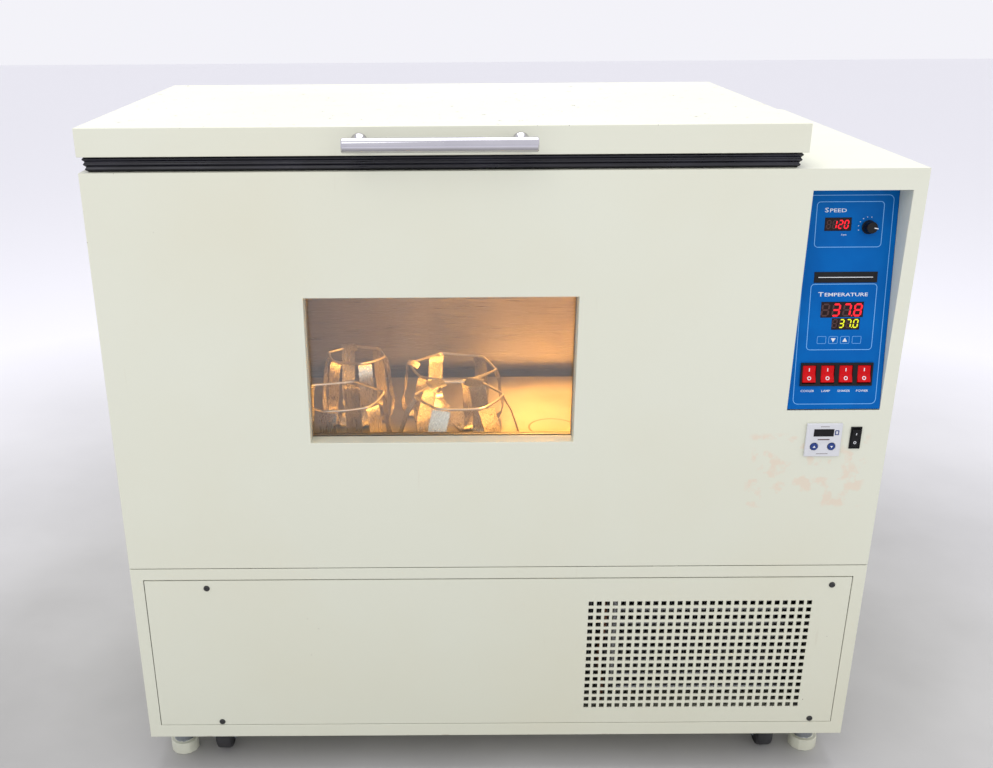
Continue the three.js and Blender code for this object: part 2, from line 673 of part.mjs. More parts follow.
// Six sprung legs on a star-shaped foot, tied by a six-cornered wire ring that grips the flask.
function flaskClamp({ x, inset, ring, height, foot, turn }) {
  const legs = 6;
  const legWidth = 26;
  const thickness = 2;
  const rod = 4;
  const lean = Math.atan2(foot - ring, height);
  const parts = [cylinderZ(0, 0, 44, 0, thickness, 20)];
  for (let leg = 0; leg < legs; leg++) {
    const arm = new THREE.BoxGeometry(foot, legWidth, thickness).translate(foot / 2, 0, thickness / 2);
    const blade = new THREE.BoxGeometry(thickness, legWidth, Math.hypot(height, foot - ring) + 4)
      .translate(0, 0, (height + 4) / 2)
      .rotateY(-lean)
      .translate(foot - thickness, 0, 0);
    for (const geometry of [arm, blade]) {
      parts.push(toSolid(geometry.rotateZ((leg * 2 * Math.PI) / legs + THREE.MathUtils.degToRad(turn))));
    }
  }
  const wire = new THREE.LatheGeometry(
    [
      new THREE.Vector2(ring - rod, height - rod / 2),
      new THREE.Vector2(ring, height - rod / 2),
      new THREE.Vector2(ring, height + rod / 2),
      new THREE.Vector2(ring - rod, height + rod / 2),
      new THREE.Vector2(ring - rod, height - rod / 2),
    ],
    legs,
  )
    .rotateX(Math.PI / 2)
    .rotateZ(THREE.MathUtils.degToRad(turn + 180 / legs));
  parts.push(toSolid(wire));
  const clamp = join(...parts);
  const level = cut(clamp, box(-200, 200, -200, 200, -20, 0));
  return level.translate([x + ORBIT, FRONT + inset, PLATFORM.top + GAP]);
}

// ---------------------------------------------------------------- refrigeration, air and light
function fan({ blades, hub, radius, depth: thickness }) {
  const parts = [cylinderY(0, 0, hub, -thickness / 2, thickness / 2, 20)];
  for (let k = 0; k < blades; k++) {
    const blade = new THREE.BoxGeometry(radius - hub + 4, 2, thickness * 1.3)
      .rotateX(0.6)
      .translate((radius + hub - 4) / 2, 0, 0);
    parts.push(toSolid(blade.rotateY((k * 2 * Math.PI) / blades)));
  }
  return join(...parts);
}

function condenser() {
  const { x0, x1, inset, depth, z0, z1 } = CONDENSER;
  const plate = 7;
  const fins = box(x0, x1, FRONT + inset, FRONT + inset + depth, z0, z1);
  const endPlates = [x0 - plate, x1].map((x) =>
    box(x, x + plate, FRONT + inset - 4, FRONT + inset + depth + 6, ON_FLOOR, z1 + 2),
  );
  return join(fins, ...endPlates);
}

function condenserFanMotor() {
  const { x, z, inset } = CONDENSER_FAN;
  const front = FRONT + inset + 20;
  return join(
    cylinderY(x, z, 34, front, front + 58),
    box(x - 12, x + 12, front + 18, front + 40, ON_FLOOR, z - 26),
    box(x - 47, x + 47, front + 8, front + 50, ON_FLOOR, ON_FLOOR + 6),
  );
}

function compressor() {
  const { x, inset, baseHeight } = COMPRESSOR;
  const y = FRONT + inset;
  const profile = [
    [0, 78],
    [84, 78],
    [90, 92],
    [90, 150],
    [96, 153],
    [96, 160],
    [90, 163],
    [88, 215],
    [66, 248],
    [30, 262],
    [0, 264],
  ].map(([r, z]) => new THREE.Vector2(r, z));
  const can = toSolid(new THREE.LatheGeometry(profile, 28).rotateX(Math.PI / 2));
  const base = box(x - 110, x + 110, y - 70, y + 70, ON_FLOOR, ON_FLOOR + baseHeight);
  return join(can.translate([x, y, 0]), base);
}

function chamberLamp() {
  const { x1 } = CHAMBER;
  const { inset, z, holder, radius, reach } = LAMP;
  const y = FRONT + inset;
  return join(
    box(x1 - 22, x1 - GAP, y - holder, y + holder, z - holder, z + holder),
    cylinderX(y, z, radius, x1 - reach, x1 - 20),
  );
}

function powerInlet() {
  const { x, z, width, height, proud } = INLET;
  return join(
    box(x - width / 2, x + width / 2, BACK + GAP, BACK + proud, z - height / 2, z + height / 2),
    box(x - width / 2 + 7, x + width / 2 - 7, BACK - 40, BACK + 2, z - height / 2 + 7, z + height / 2 - 7),
  );
}

// ---------------------------------------------------------------- feet and casters
function levellingFoot(x, y) {
  const stemTop = CABINET.bottom - 2;
  return join(
    cylinderZ(x, y, FOOT.radius, 0, FOOT.height, 12),
    cylinderZ(x, y, FOOT.collar, FOOT.height - 1, stemTop - 4, 24),
    cylinderZ(x, y, FOOT.thread, stemTop - 6, CABINET.bottom + 30, 12),
  );
}

// The swivel axis stands behind the wheel by the trail, so the wheels point to the front.
function casterFork(x, y) {
  const plate = CABINET.bottom - 4 - GAP;
  const swivel = y + CASTER.trail;
  const arm = CASTER.halfWidth + 1.5;
  const crown = box(x - arm - 2.5, x + arm + 2.5, y - 8, swivel + 16, plate - 12 + 8, plate - 1);
  const arms = [-1, 1].map((side) => {
    const [low, high] = side < 0 ? [x - arm - 2.5, x - arm] : [x + arm, x + arm + 2.5];
    return prismX(
      [
        [y - 8, CASTER.axleZ - 7],
        [y + 8, CASTER.axleZ - 7],
        [swivel + 16, plate - 2],
        [y - 8, plate - 2],
      ],
      low,
      high,
    );
  });
  return join(
    crown,
    ...arms,
    cylinderZ(x, swivel, 17, plate - 2, plate, 20),
    cylinderX(y, CASTER.axleZ, CASTER.axle, x - arm - 4, x + arm + 4, 12),
  );
}

function casterWheel(x, y) {
  const { axleZ, radius, halfWidth, axle } = CASTER;
  return cut(
    cylinderX(y, axleZ, radius, x - halfWidth, x + halfWidth, 28),
    cylinderX(y, axleZ, axle + SLACK, x - halfWidth - 1, x + halfWidth + 1, 12),
  );
}

// ---------------------------------------------------------------- assembly
addPiece("cabinet_shell", cabinetShell(), "creamPaint");
addPiece("base_frame", baseFrame(), "creamPaint");
addPiece("access_panel", accessPanel(), "creamPaint");
addPiece("chamber_liner", chamberLiner(), "stainless");
addPiece("rear_baffle", rearBaffle(), "stainless");
addPiece("window_unit", windowUnit(), "glass");

addPiece("lid_shell", lidShell(), "creamPaint");
addPiece("lid_liner", lidLiner(), "stainless");
addPiece("lid_gasket", lidGasket(), "blackRubber");
addPiece("lid_handle", lidHandle(), "chrome");
addPiece("lid_hinge_base", hingeBase(), "stainless");
addPiece("lid_hinge_leaf", hingeLeaf(), "stainless");
addPiece("lid_hinge_pin", hingePin(), "steel");

addPiece("control_panel", controlPlate(), "blueOverlay", panelFrame);
addPiece("speed_display", speedDisplay(), "displayLens", panelFrame);
addPiece("temperature_controller", temperatureController(), "displayLens", panelFrame);
addPiece("switch_bezel", switchBezel(), "blackPlastic", panelFrame);
["cooler", "lamp", "shaker", "power"].forEach((use, k) => {
  const lever = addPiece(`rocker_${use}`, rocker(ROCKER.width, ROCKER.height), "redLens", panelFrame);
  lever.position.set(SWITCHES.x[k], ROCKER.pivotDepth, SWITCHES.s);
  lever.rotation.x = -THREE.MathUtils.degToRad(ROCKER.tilt);
});
const knob = addPiece("speed_knob", speedKnob(), "blackPlastic", panelFrame);
knob.position.set(KNOB.x, 0, KNOB.s);

addPiece("timer_module", timerModule(), "whitePlastic");
addPiece("timer_key_up", timerKey(-1), "bluePlastic");
addPiece("timer_key_down", timerKey(1), "bluePlastic");
const auxRocker = addPiece(
  "aux_rocker",
  rocker(AUX_SWITCH.width - 3.4, AUX_SWITCH.height - 4.6),
  "blackPlastic",
);
auxRocker.position.set(AUX_SWITCH.x, FRONT + ROCKER.pivotDepth, AUX_SWITCH.z);
auxRocker.rotation.x = THREE.MathUtils.degToRad(ROCKER.tilt - 2);

addPiece("drive_deck", driveDeck(), "steel");
const mainCrank = crank(DRIVE.x, DRIVE.y, MAIN_SHAFT.shaft, 268, MAIN_SHAFT.web, 10, MAIN_SHAFT.pin);
addPiece("main_crank", mainCrank, "steel");
addPiece("drive_pulley", drivePulley(), "aluminium");
addPiece("counterweight", counterweight(), "castIron");
for (const [side, label] of [[-1, "left"], [1, "right"]]) {
  const { shaft, web, pin } = IDLER_SHAFT;
  const idler = crank(DRIVE.x + side * IDLERS.spread, IDLERS.y, shaft, 340, web, 8, pin);
  addPiece(`idler_crank_${label}`, idler, "steel");
}
addPiece("motor", motor(), "castIron");
addPiece("motor_pulley", motorPulley(), "aluminium");
addPiece("drive_belt", driveBelt(), "blackRubber");
addPiece("platform_carrier", platformCarrier(), "steel");
addPiece("platform", platformTray(), "stainless");
for (const clamp of CLAMPS) addPiece(clamp.name, flaskClamp(clamp), "stainless");

addPiece("condenser", condenser(), "aluminium");
addPiece("condenser_fan_motor", condenserFanMotor(), "castIron");
const condenserFan = addPiece("condenser_fan", fan(CONDENSER_FAN), "aluminium");
condenserFan.position.set(CONDENSER_FAN.x, FRONT + CONDENSER_FAN.inset, CONDENSER_FAN.z);
addPiece("compressor", compressor(), "castIron");
const circulationFan = addPiece(
  "circulation_fan",
  join(fan(CIRCULATION_FAN), cylinderY(0, 0, 5, -34, 0, 12)),
  "aluminium",
);
circulationFan.position.set(
  CHAMBER.x1 - CIRCULATION_FAN.wallGap,
  FRONT + CIRCULATION_FAN.inset,
  CIRCULATION_FAN.z,
);
circulationFan.rotation.z = Math.PI / 2;
addPiece("chamber_lamp", chamberLamp(), "glass");
addPiece("power_inlet", powerInlet(), "blackPlastic");

for (const { label, x, y } of corners(FOOT)) {
  addPiece(`foot_${label}`, levellingFoot(x, y), "aluminium");
}
for (const { label, x, y } of corners(CASTER)) {
  addPiece(`caster_fork_${label}`, casterFork(x, y), "steel");
  addPiece(`caster_wheel_${label}`, casterWheel(x, y), "blackRubber");
}

export default object;
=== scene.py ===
import json
import math

import bmesh
import bpy
from mathutils import Matrix, Vector


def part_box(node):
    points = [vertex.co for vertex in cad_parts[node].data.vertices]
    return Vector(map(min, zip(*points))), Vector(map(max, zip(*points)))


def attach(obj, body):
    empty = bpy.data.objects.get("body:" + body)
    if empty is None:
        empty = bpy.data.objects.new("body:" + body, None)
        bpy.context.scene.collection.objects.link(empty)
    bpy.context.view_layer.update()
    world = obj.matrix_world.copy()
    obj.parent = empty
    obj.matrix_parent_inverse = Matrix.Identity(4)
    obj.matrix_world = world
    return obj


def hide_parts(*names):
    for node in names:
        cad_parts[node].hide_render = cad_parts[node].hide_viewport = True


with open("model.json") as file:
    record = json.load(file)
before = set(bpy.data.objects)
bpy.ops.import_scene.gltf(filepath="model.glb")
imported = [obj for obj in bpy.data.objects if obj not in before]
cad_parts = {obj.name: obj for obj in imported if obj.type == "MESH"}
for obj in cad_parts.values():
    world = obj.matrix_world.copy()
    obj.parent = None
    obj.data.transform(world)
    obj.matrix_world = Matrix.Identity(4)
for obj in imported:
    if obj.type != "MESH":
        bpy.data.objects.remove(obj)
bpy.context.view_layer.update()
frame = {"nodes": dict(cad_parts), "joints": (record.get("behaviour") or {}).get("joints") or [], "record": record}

MM = 0.001
JOINTS = {j["name"]: j for j in frame["joints"]}
CABINET_LOW, CABINET_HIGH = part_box("cabinet_shell")
LID_LOW, LID_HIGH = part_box("lid_shell")
FRONT = CABINET_LOW.y


# ---------------------------------------------------------------- materials
class Shader:
    """A node-based material on one Principled shader, read from object coordinates in metres."""

    def __init__(self, name, **sockets):
        self.material = bpy.data.materials.new(name)
        self.material.use_nodes = True
        self.nodes = self.material.node_tree.nodes
        self.links = self.material.node_tree.links
        self.shader = self.nodes["Principled BSDF"]
        self.place = self.nodes.new("ShaderNodeTexCoord").outputs["Object"]
        for socket, value in sockets.items():
            self.shader.inputs[socket.replace("_", " ")].default_value = value

    def join(self, source, target):
        if isinstance(source, (int, float, tuple)):
            target.default_value = source
        else:
            self.links.new(source, target)

    def stretched(self, scale):
        mapping = self.nodes.new("ShaderNodeMapping")
        mapping.inputs["Scale"].default_value = scale
        self.links.new(self.place, mapping.inputs["Vector"])
        return mapping.outputs["Vector"]

    def noise(self, scale, detail=3.0, roughness=0.5, stretch=None):
        node = self.nodes.new("ShaderNodeTexNoise")
        node.inputs["Scale"].default_value = scale
        node.inputs["Detail"].default_value = detail
        node.inputs["Roughness"].default_value = roughness
        self.links.new(self.stretched(stretch) if stretch else self.place, node.inputs["Vector"])
        return node.outputs["Fac"]

    def spots(self, scale, size, stretch=None):
        """1 inside sparse round spots, 0 elsewhere."""
        node = self.nodes.new("ShaderNodeTexVoronoi")
        node.inputs["Scale"].default_value = scale
        self.links.new(self.stretched(stretch) if stretch else self.place, node.inputs["Vector"])
        return self.spread(node.outputs["Distance"], size, size * 0.5)

    def spread(self, value, low, high, to_low=0.0, to_high=1.0):
        """Maps low..high onto to_low..to_high, clamped. low may be above high."""
        node = self.nodes.new("ShaderNodeMapRange")
        self.join(value, node.inputs["Value"])
        node.inputs["From Min"].default_value = low
        node.inputs["From Max"].default_value = high
        node.inputs["To Min"].default_value = to_low
        node.inputs["To Max"].default_value = to_high
        return node.outputs["Result"]

    def maths(self, operation, a, b):
        node = self.nodes.new("ShaderNodeMath")
        node.operation = operation
        self.join(a, node.inputs[0])
        self.join(b, node.inputs[1])
        return node.outputs[0]

    def axis(self, name):
        node = self.nodes.new("ShaderNodeSeparateXYZ")
        self.links.new(self.place, node.inputs[0])
        return node.outputs[name]

    def within(self, name, low, high, soft):
        """1 between low and high along an axis, fading over soft."""
        value = self.axis(name)
        rising = self.spread(value, low - soft, low)
        return self.maths("MULTIPLY", rising, self.spread(value, high + soft, high))

    def colours(self, factor, a, b):
        node = self.nodes.new("ShaderNodeMix")
        node.data_type = "RGBA"
        self.join(factor, node.inputs["Factor"])
        for value, key in ((a, "A"), (b, "B")):
            target = [s for s in node.inputs if s.name == key and s.type == "RGBA"][0]
            self.join((*value, 1.0) if isinstance(value, tuple) else value, target)
        return [s for s in node.outputs if s.type == "RGBA"][0]

    def set(self, socket, value):
        self.join(value, self.shader.inputs[socket])

    def bump(self, height, strength, distance):
        node = self.nodes.new("ShaderNodeBump")
        node.inputs["Strength"].default_value = strength
        node.inputs["Distance"].default_value = distance
        self.links.new(height, node.inputs["Height"])
        self.links.new(node.outputs["Normal"], self.shader.inputs["Normal"])


IVORY = (0.755, 0.768, 0.635)
IVORY_AGED = (0.735, 0.728, 0.575)
RUST = (0.20, 0.075, 0.025)
SPECK = (0.16, 0.11, 0.07)
SCRATCH = (0.60, 0.55, 0.42)
TAPE_RESIDUE = (0.80, 0.62, 0.47)
CHIPPED = (0.13, 0.10, 0.08)
STAIN = (0.20, 0.15, 0.09)


def enamel(name, tape_mark=False, rusty_below=None, chipped_above=None):
    """Satin ivory paint with the specks, stains and edge wear of years in a laboratory."""
    m = Shader(name, Roughness=0.4, Coat_Weight=0.12, Coat_Roughness=0.2)
    colour = m.colours(m.spread(m.noise(2.2, 4), 0.42, 0.75), IVORY, IVORY_AGED)
    specks = m.maths("MULTIPLY", m.spots(34, 0.035), m.spread(m.noise(3), 0.56, 0.6))
    colour = m.colours(specks, colour, SPECK)
    scratches = m.spread(m.noise(60, 2, 0.4, (1, 1, 0.12)), 0.73, 0.78, 0, 0.25)
    colour = m.colours(scratches, colour, SCRATCH)
    if tape_mark:
        # What a strip of old tape left beside and below the timer.
        low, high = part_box("timer_module")
        patch = m.maths(
            "MULTIPLY",
            m.within("X", low.x - 0.07, high.x + 0.035, 0.008),
            m.within("Z", low.z - 0.075, high.z - 0.02, 0.006),
        )
        patch = m.maths("MULTIPLY", patch, m.spread(m.axis("Y"), FRONT + 0.012, FRONT + 0.010))
        torn = m.maths("MULTIPLY", patch, m.spread(m.noise(38, 5), 0.52, 0.6, 0, 0.5))
        colour = m.colours(torn, colour, TAPE_RESIDUE)
    if rusty_below is not None:
        reach = m.spread(m.axis("Z"), rusty_below + 0.007, rusty_below, 0, 0.85)
        blotch = m.spread(m.noise(34, 6, 0.7, (1, 1, 0.6)), 0.57, 0.67)
        colour = m.colours(m.maths("MULTIPLY", reach, blotch), colour, RUST)
    if chipped_above is not None:
        reach = m.spread(m.axis("Z"), chipped_above - 0.0022, chipped_above - 0.0008)
        chip = m.spread(m.noise(70, 5, 0.7), 0.65, 0.68)
        colour = m.colours(m.maths("MULTIPLY", reach, chip), colour, CHIPPED)
    m.set("Base Color", colour)
    m.set("Roughness", m.spread(m.noise(9, 5), 0.35, 0.7, 0.34, 0.5))
    m.bump(m.noise(420, 2), 0.06, 0.0004)
    return m.material


def brushed(name, colour, rough, along="X", grain=0.5, stain=0.12):
    """Sheet metal brushed along one axis, with faint stains."""
    stretch = {"X": (1, 60, 60), "Y": (60, 1, 60), "Z": (60, 60, 1)}[along]
    m = Shader(name, Metallic=1.0, Roughness=rough)
    lines = m.noise(14, 6, 0.7, stretch)
    dull = tuple(c * (1 - 0.5 * grain) for c in colour)
    base = m.colours(m.spread(lines, 0.3, 0.7), dull, colour)
    base = m.colours(m.spread(m.noise(11, 5), 0.55, 0.7, 0, stain), base, STAIN)
    m.set("Base Color", base)
    m.set("Roughness", m.spread(lines, 0.3, 0.7, rough - 0.07, rough + 0.1))
    m.bump(lines, 0.12 * grain, 0.0003)
    return m.material


def cast(name, colour, rough=0.55):
    m = Shader(name, Roughness=rough)
    lighter = tuple(min(1.0, c * 1.5 + 0.01) for c in colour)
    m.set("Base Color", m.colours(m.spread(m.noise(40, 5), 0.35, 0.7), colour, lighter))
    m.set("Roughness", m.spread(m.noise(90, 4), 0.3, 0.7, rough - 0.08, rough + 0.1))
    m.bump(m.noise(600, 3), 0.15, 0.0004)
    return m.material


def moulded(name, colour, rough=0.35, gloss=0.5):
    """Moulded plastic: fine texture and a little dust."""
    m = Shader(name, Roughness=rough, Specular_IOR_Level=gloss)
    dusty = tuple(c * 0.92 + 0.006 for c in colour)
    m.set("Base Color", m.colours(m.spread(m.noise(25, 5), 0.5, 0.75), colour, dusty))
    m.set("Roughness", m.spread(m.noise(140, 3), 0.3, 0.7, rough - 0.05, rough + 0.08))
    m.bump(m.noise(1500, 2), 0.04, 0.0002)
    return m.material


def glowing(name, colour, strength, rough=0.3):
    m = Shader(name, Roughness=rough, Emission_Strength=strength, Specular_IOR_Level=0.15)
    dim = tuple(c * 0.8 for c in colour)
    m.set("Base Color", m.colours(m.spread(m.noise(200, 2), 0.3, 0.7), dim, colour))
    m.set("Emission Color", m.colours(m.spread(m.noise(120, 2), 0.2, 0.8), dim, colour))
    return m.material


def window_glass():
    """Clear pane with the haze and wipe marks of use."""
    m = Shader("window_glass", Transmission_Weight=1.0, IOR=1.45)
    clean, hazy = (0.97, 0.98, 0.97), (0.90, 0.92, 0.91)
    m.set("Base Color", m.colours(m.spread(m.noise(5, 4), 0.4, 0.7), clean, hazy))
    m.set("Roughness", m.spread(m.noise(7, 5, 0.6, (1, 1, 2.5)), 0.45, 0.75, 0.0, 0.05))
    return m.material


def chrome():
    m = Shader("chrome", Metallic=1.0)
    m.set("Base Color", m.colours(m.noise(30, 3), (0.52, 0.51, 0.55), (0.64, 0.63, 0.67)))
    m.set("Roughness", m.spread(m.noise(50, 5), 0.4, 0.75, 0.05, 0.16))
    m.bump(m.noise(90, 3), 0.02, 0.0003)
    return m.material


def sealing_rubber():
    m = Shader("sealing_rubber", Roughness=0.3)
    blacks = (0.006, 0.006, 0.011), (0.016, 0.016, 0.026)
    m.set("Base Color", m.colours(m.spread(m.noise(18, 4), 0.45, 0.7), *blacks))
    m.set("Roughness", m.spread(m.noise(22, 4), 0.3, 0.7, 0.22, 0.42))
    m.bump(m.noise(130, 3), 0.1, 0.0006)
    return m.material


def overlay_blue():
    m = Shader("overlay_blue", Roughness=0.5, Specular_IOR_Level=0.08)
    blues = (0.0, 0.112, 0.42), (0.0, 0.142, 0.49)
    m.set("Base Color", m.colours(m.spread(m.noise(16, 4), 0.35, 0.7), *blues))
    m.set("Roughness", m.spread(m.noise(60, 4), 0.3, 0.7, 0.4, 0.52))
    m.bump(m.noise(1800, 2), 0.05, 0.0002)
    return m.material


VESSEL_MARK = Vector((0.103, FRONT + 0.300, 0))
VESSEL_MARK_RADIUS = 0.039


def platform_steel():
    """Worn platform sheet: stains, dark specks and the circle that a vessel left."""
    m = Shader("platform_steel", Metallic=1.0, Roughness=0.35)
    lines = m.noise(16, 6, 0.7, (1, 50, 50))
    colour = m.colours(m.spread(lines, 0.3, 0.7), (0.56, 0.53, 0.46), (0.70, 0.66, 0.58))
    colour = m.colours(m.spread(m.noise(7, 5), 0.5, 0.72, 0, 0.4), colour, (0.33, 0.25, 0.16))
    for scale, size in ((34, 0.06), (70, 0.085)):
        patchy = m.spread(m.noise(scale / 3), 0.52, 0.58)
        scattered = m.maths("MULTIPLY", m.spots(scale, size, (1, 1, 0)), patchy)
        colour = m.colours(scattered, colour, (0.07, 0.045, 0.03))
    away = m.nodes.new("ShaderNodeVectorMath")
    away.operation = "DISTANCE"
    flat = m.stretched((1, 1, 0))
    m.links.new(flat, away.inputs[0])
    away.inputs[1].default_value = VESSEL_MARK
    distance, core, edge = away.outputs["Value"], 0.0005, 0.0025
    rising = m.spread(distance, VESSEL_MARK_RADIUS - edge, VESSEL_MARK_RADIUS - core)
    falling = m.spread(distance, VESSEL_MARK_RADIUS + edge, VESSEL_MARK_RADIUS + core)
    ring = m.maths("MULTIPLY", rising, falling)
    colour = m.colours(m.maths("MULTIPLY", ring, 0.75), colour, (0.16, 0.10, 0.05))
    m.set("Base Color", colour)
    m.set("Roughness", m.spread(m.noise(12, 5), 0.3, 0.7, 0.28, 0.5))
    m.bump(lines, 0.05, 0.0003)
    return m.material


M = {
    "upper": enamel("enamel_upper", tape_mark=True),
    "base": enamel("enamel_base", rusty_below=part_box("base_frame")[0].z),
    "panel": enamel("enamel_panel"),
    "cup": enamel("enamel_cup"),
    "lid": enamel("enamel_lid", chipped_above=LID_HIGH.z),
    "steel": brushed("stainless_brushed", (0.66, 0.60, 0.50), 0.3, "X", 0.5, 0.2),
    "clamp": brushed("clamp_steel", (0.74, 0.70, 0.62), 0.27, "Z", 0.14, 0.3),
    "wire": brushed("clamp_wire", (0.92, 0.88, 0.80), 0.3, "Z", 0.1, 0.1),
    "pan": brushed("lid_pan_steel", (0.62, 0.60, 0.54), 0.5, "X", 0.4, 0.2),
    "machined": brushed("machined_steel", (0.42, 0.42, 0.42), 0.34, "Z"),
    "zinc": brushed("zinc_steel", (0.40, 0.43, 0.47), 0.45, "Z"),
    "platform": platform_steel(),
    "chrome": chrome(),
    "rubber": sealing_rubber(),
    "tyre": cast("tyre_rubber", (0.02, 0.02, 0.022), 0.6),
    "blue": overlay_blue(),
    "line": moulded("print_light_blue", (0.19, 0.50, 0.90), 0.45),
    "white": moulded("print_white", (0.82, 0.84, 0.86), 0.4),
    "black": moulded("black_plastic", (0.004, 0.004, 0.005), 0.4, 0.25),
    "screw": moulded("screw_black", (0.02, 0.02, 0.02), 0.28),
    "grey": moulded("timer_grey", (0.70, 0.71, 0.73), 0.42),
    "navy": moulded("timer_navy", (0.02, 0.05, 0.22), 0.35, 0.3),
    "lens": moulded("dark_lens", (0.016, 0.005, 0.005), 0.3, 0.2),
    "ghost": moulded("unlit_segment", (0.085, 0.04, 0.04), 0.4, 0.2),
    "red_on": glowing("led_red", (1.0, 0.015, 0.03), 1.0),
    "yellow_on": glowing("led_yellow", (0.72, 0.75, 0.02), 0.75),
    "rocker": glowing("rocker_red", (0.52, 0.0005, 0.003), 0.3, 0.3),
    "iron": cast("painted_casting", (0.03, 0.032, 0.036)),
    "aluminium": brushed("mill_aluminium", (0.62, 0.63, 0.65), 0.38, "Z"),
    "rust": cast("rusty_tube", (0.17, 0.07, 0.03), 0.7),
    "glass": window_glass(),
    "lamp": glowing("lamp_amber", (1.0, 0.55, 0.16), 5.0),
}


# ---------------------------------------------------------------- pieces
SMOOTH_ANGLE = 35  # degrees; sharper edges stay sharp
BEVEL_ANGLE = 30
WELD = 1e-6
SEAM = 1e-7
FLAT_ANGLE = 0.01


def piece(name, bm, material, body="root", replaces=(), smooth=SMOOTH_ANGLE, bevel=0.0, segments=2):
    """Turns a bmesh in the row frame into a finished object that rides on a CAD body."""
    bmesh.ops.recalc_face_normals(bm, faces=bm.faces)
    mesh = bpy.data.meshes.new(name)
    bm.to_mesh(mesh)
    bm.free()
    made = bpy.data.objects.new(name, mesh)
    bpy.context.scene.collection.objects.link(made)
    for each in material if isinstance(material, (list, tuple)) else [material]:
        mesh.materials.append(M[each])
    if bevel:
        rounding = made.modifiers.new("rounding", "BEVEL")
        rounding.width = bevel
        rounding.segments = segments
        rounding.angle_limit = math.radians(BEVEL_ANGLE)
    mesh.shade_smooth()
    mesh.set_sharp_from_angle(angle=math.radians(smooth))
    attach(made, body)
    if replaces:
        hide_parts(*replaces)


def slot_of(node):
    return next(p["material_slot"] for p in frame["record"]["subparts"] if p["node"] == node)


def body_of(node):
    bodies = frame["record"]["behaviour"]["bodies"]
    return next(body for body, members in bodies.items() if node in members)


def softened(node, material, bevel=0.8 * MM, segments=2, pick=None):
    """The CAD node with its edges rounded. pick(face centre) chooses among several materials."""
    bm = bmesh.new()
    bm.from_mesh(frame["nodes"][node].data)
    bmesh.ops.remove_doubles(bm, verts=bm.verts, dist=WELD)
    bmesh.ops.dissolve_limit(bm, angle_limit=FLAT_ANGLE, verts=bm.verts, edges=bm.edges)
    for face in bm.faces:
        face.material_index = pick(face.calc_center_median()) if pick else 0
    name, slot, body = node + "_finished", slot_of(node), body_of(node)
    piece(name, bm, material, body, (node,), SMOOTH_ANGLE, bevel, segments)


def box_in(bm, low, high, matrix=None):
    made = bmesh.ops.create_cube(bm, size=1.0)["verts"]
    low, high = Vector(low), Vector(high)
    for v in made:
        v.co = Vector((low[k] + (v.co[k] + 0.5) * (high[k] - low[k]) for k in range(3)))
        if matrix:
            v.co = matrix @ v.co


def lathe_in(bm, profile, matrix, steps=32):
    """Turns (radius, height) points about local Z. A profile starts and ends on the axis or closes."""
    rings = []
    for radius, height in profile:
        if radius < SEAM:
            rings.append([bm.verts.new(matrix @ Vector((0, 0, height)))])
            continue
        turn = [2 * math.pi * k / steps for k in range(steps)]
        round_points = [Vector((radius * math.cos(a), radius * math.sin(a), height)) for a in turn]
        rings.append([bm.verts.new(matrix @ point) for point in round_points])
    for below, above in zip(rings, rings[1:]):
        for k in range(steps):
            n = (k + 1) % steps
            corners = [ring[j % len(ring)] for ring, j in ((below, k), (below, n), (above, n), (above, k))]
            bm.faces.new(list(dict.fromkeys(corners)))


def tube_in(bm, points, radius, sides=12, closed=False):
    """A round bar along a list of points, capped unless it is closed."""
    count = len(points)
    rings = []
    for k, point in enumerate(points):
        before = points[k - 1] if (closed or k) else point
        after = points[(k + 1) % count] if (closed or k < count - 1) else point
        ahead = (after - before).normalized()
        side = ahead.orthogonal() if abs(ahead.z) > 0.95 else ahead.cross(Vector((0, 0, 1)))
        side.normalize()
        other = side.cross(ahead).normalized()
        turn = [2 * math.pi * j / sides for j in range(sides)]
        spokes = [math.cos(a) * side + math.sin(a) * other for a in turn]
        rings.append([bm.verts.new(point + radius * spoke) for spoke in spokes])
    for k in range(count if closed else count - 1):
        low, high = rings[k], rings[(k + 1) % count]
        for j in range(sides):
            n = (j + 1) % sides
            bm.faces.new([low[j], low[n], high[n], high[j]])
    if not closed:
        bm.faces.new(rings[0])
        bm.faces.new(rings[-1][::-1])


def facing(origin, out, up=Vector((0, 0, 1))):
    """A matrix whose local Z points out, for turned pieces on a wall."""
    out = Vector(out).normalized()
    side = up.cross(out).normalized()
    return Matrix.Translation(origin) @ Matrix((side, out.cross(side), out)).transposed().to_4x4()


# ---------------------------------------------------------------- cabinet, base, lid
def sheet_metal():
    softened("cabinet_shell", "upper", 0.8 * MM)
    softened("base_frame", "base", 0.8 * MM)
    softened("lid_shell", "lid", 0.9 * MM, 3)


VENT_COLUMNS = 28
VENT_ROWS = 16
VENT_PITCH_X = 11.85 * MM
VENT_PITCH_Z = 11.93 * MM
VENT_HOLE = 7.5 * MM
VENT_SIDE_INSET = 57 * MM
VENT_RISE = 31.5 * MM
PANEL_SHEET = 1.5 * MM


def vent_centres():
    """Hole centres of the square perforation in the service panel, from its right-hand edge."""
    low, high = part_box("access_panel")
    x_last = high.x - VENT_SIDE_INSET
    z_first = low.z + VENT_RISE
    xs = [x_last - (VENT_COLUMNS - 1 - k) * VENT_PITCH_X for k in range(VENT_COLUMNS)]
    return xs, [z_first + k * VENT_PITCH_Z for k in range(VENT_ROWS)]


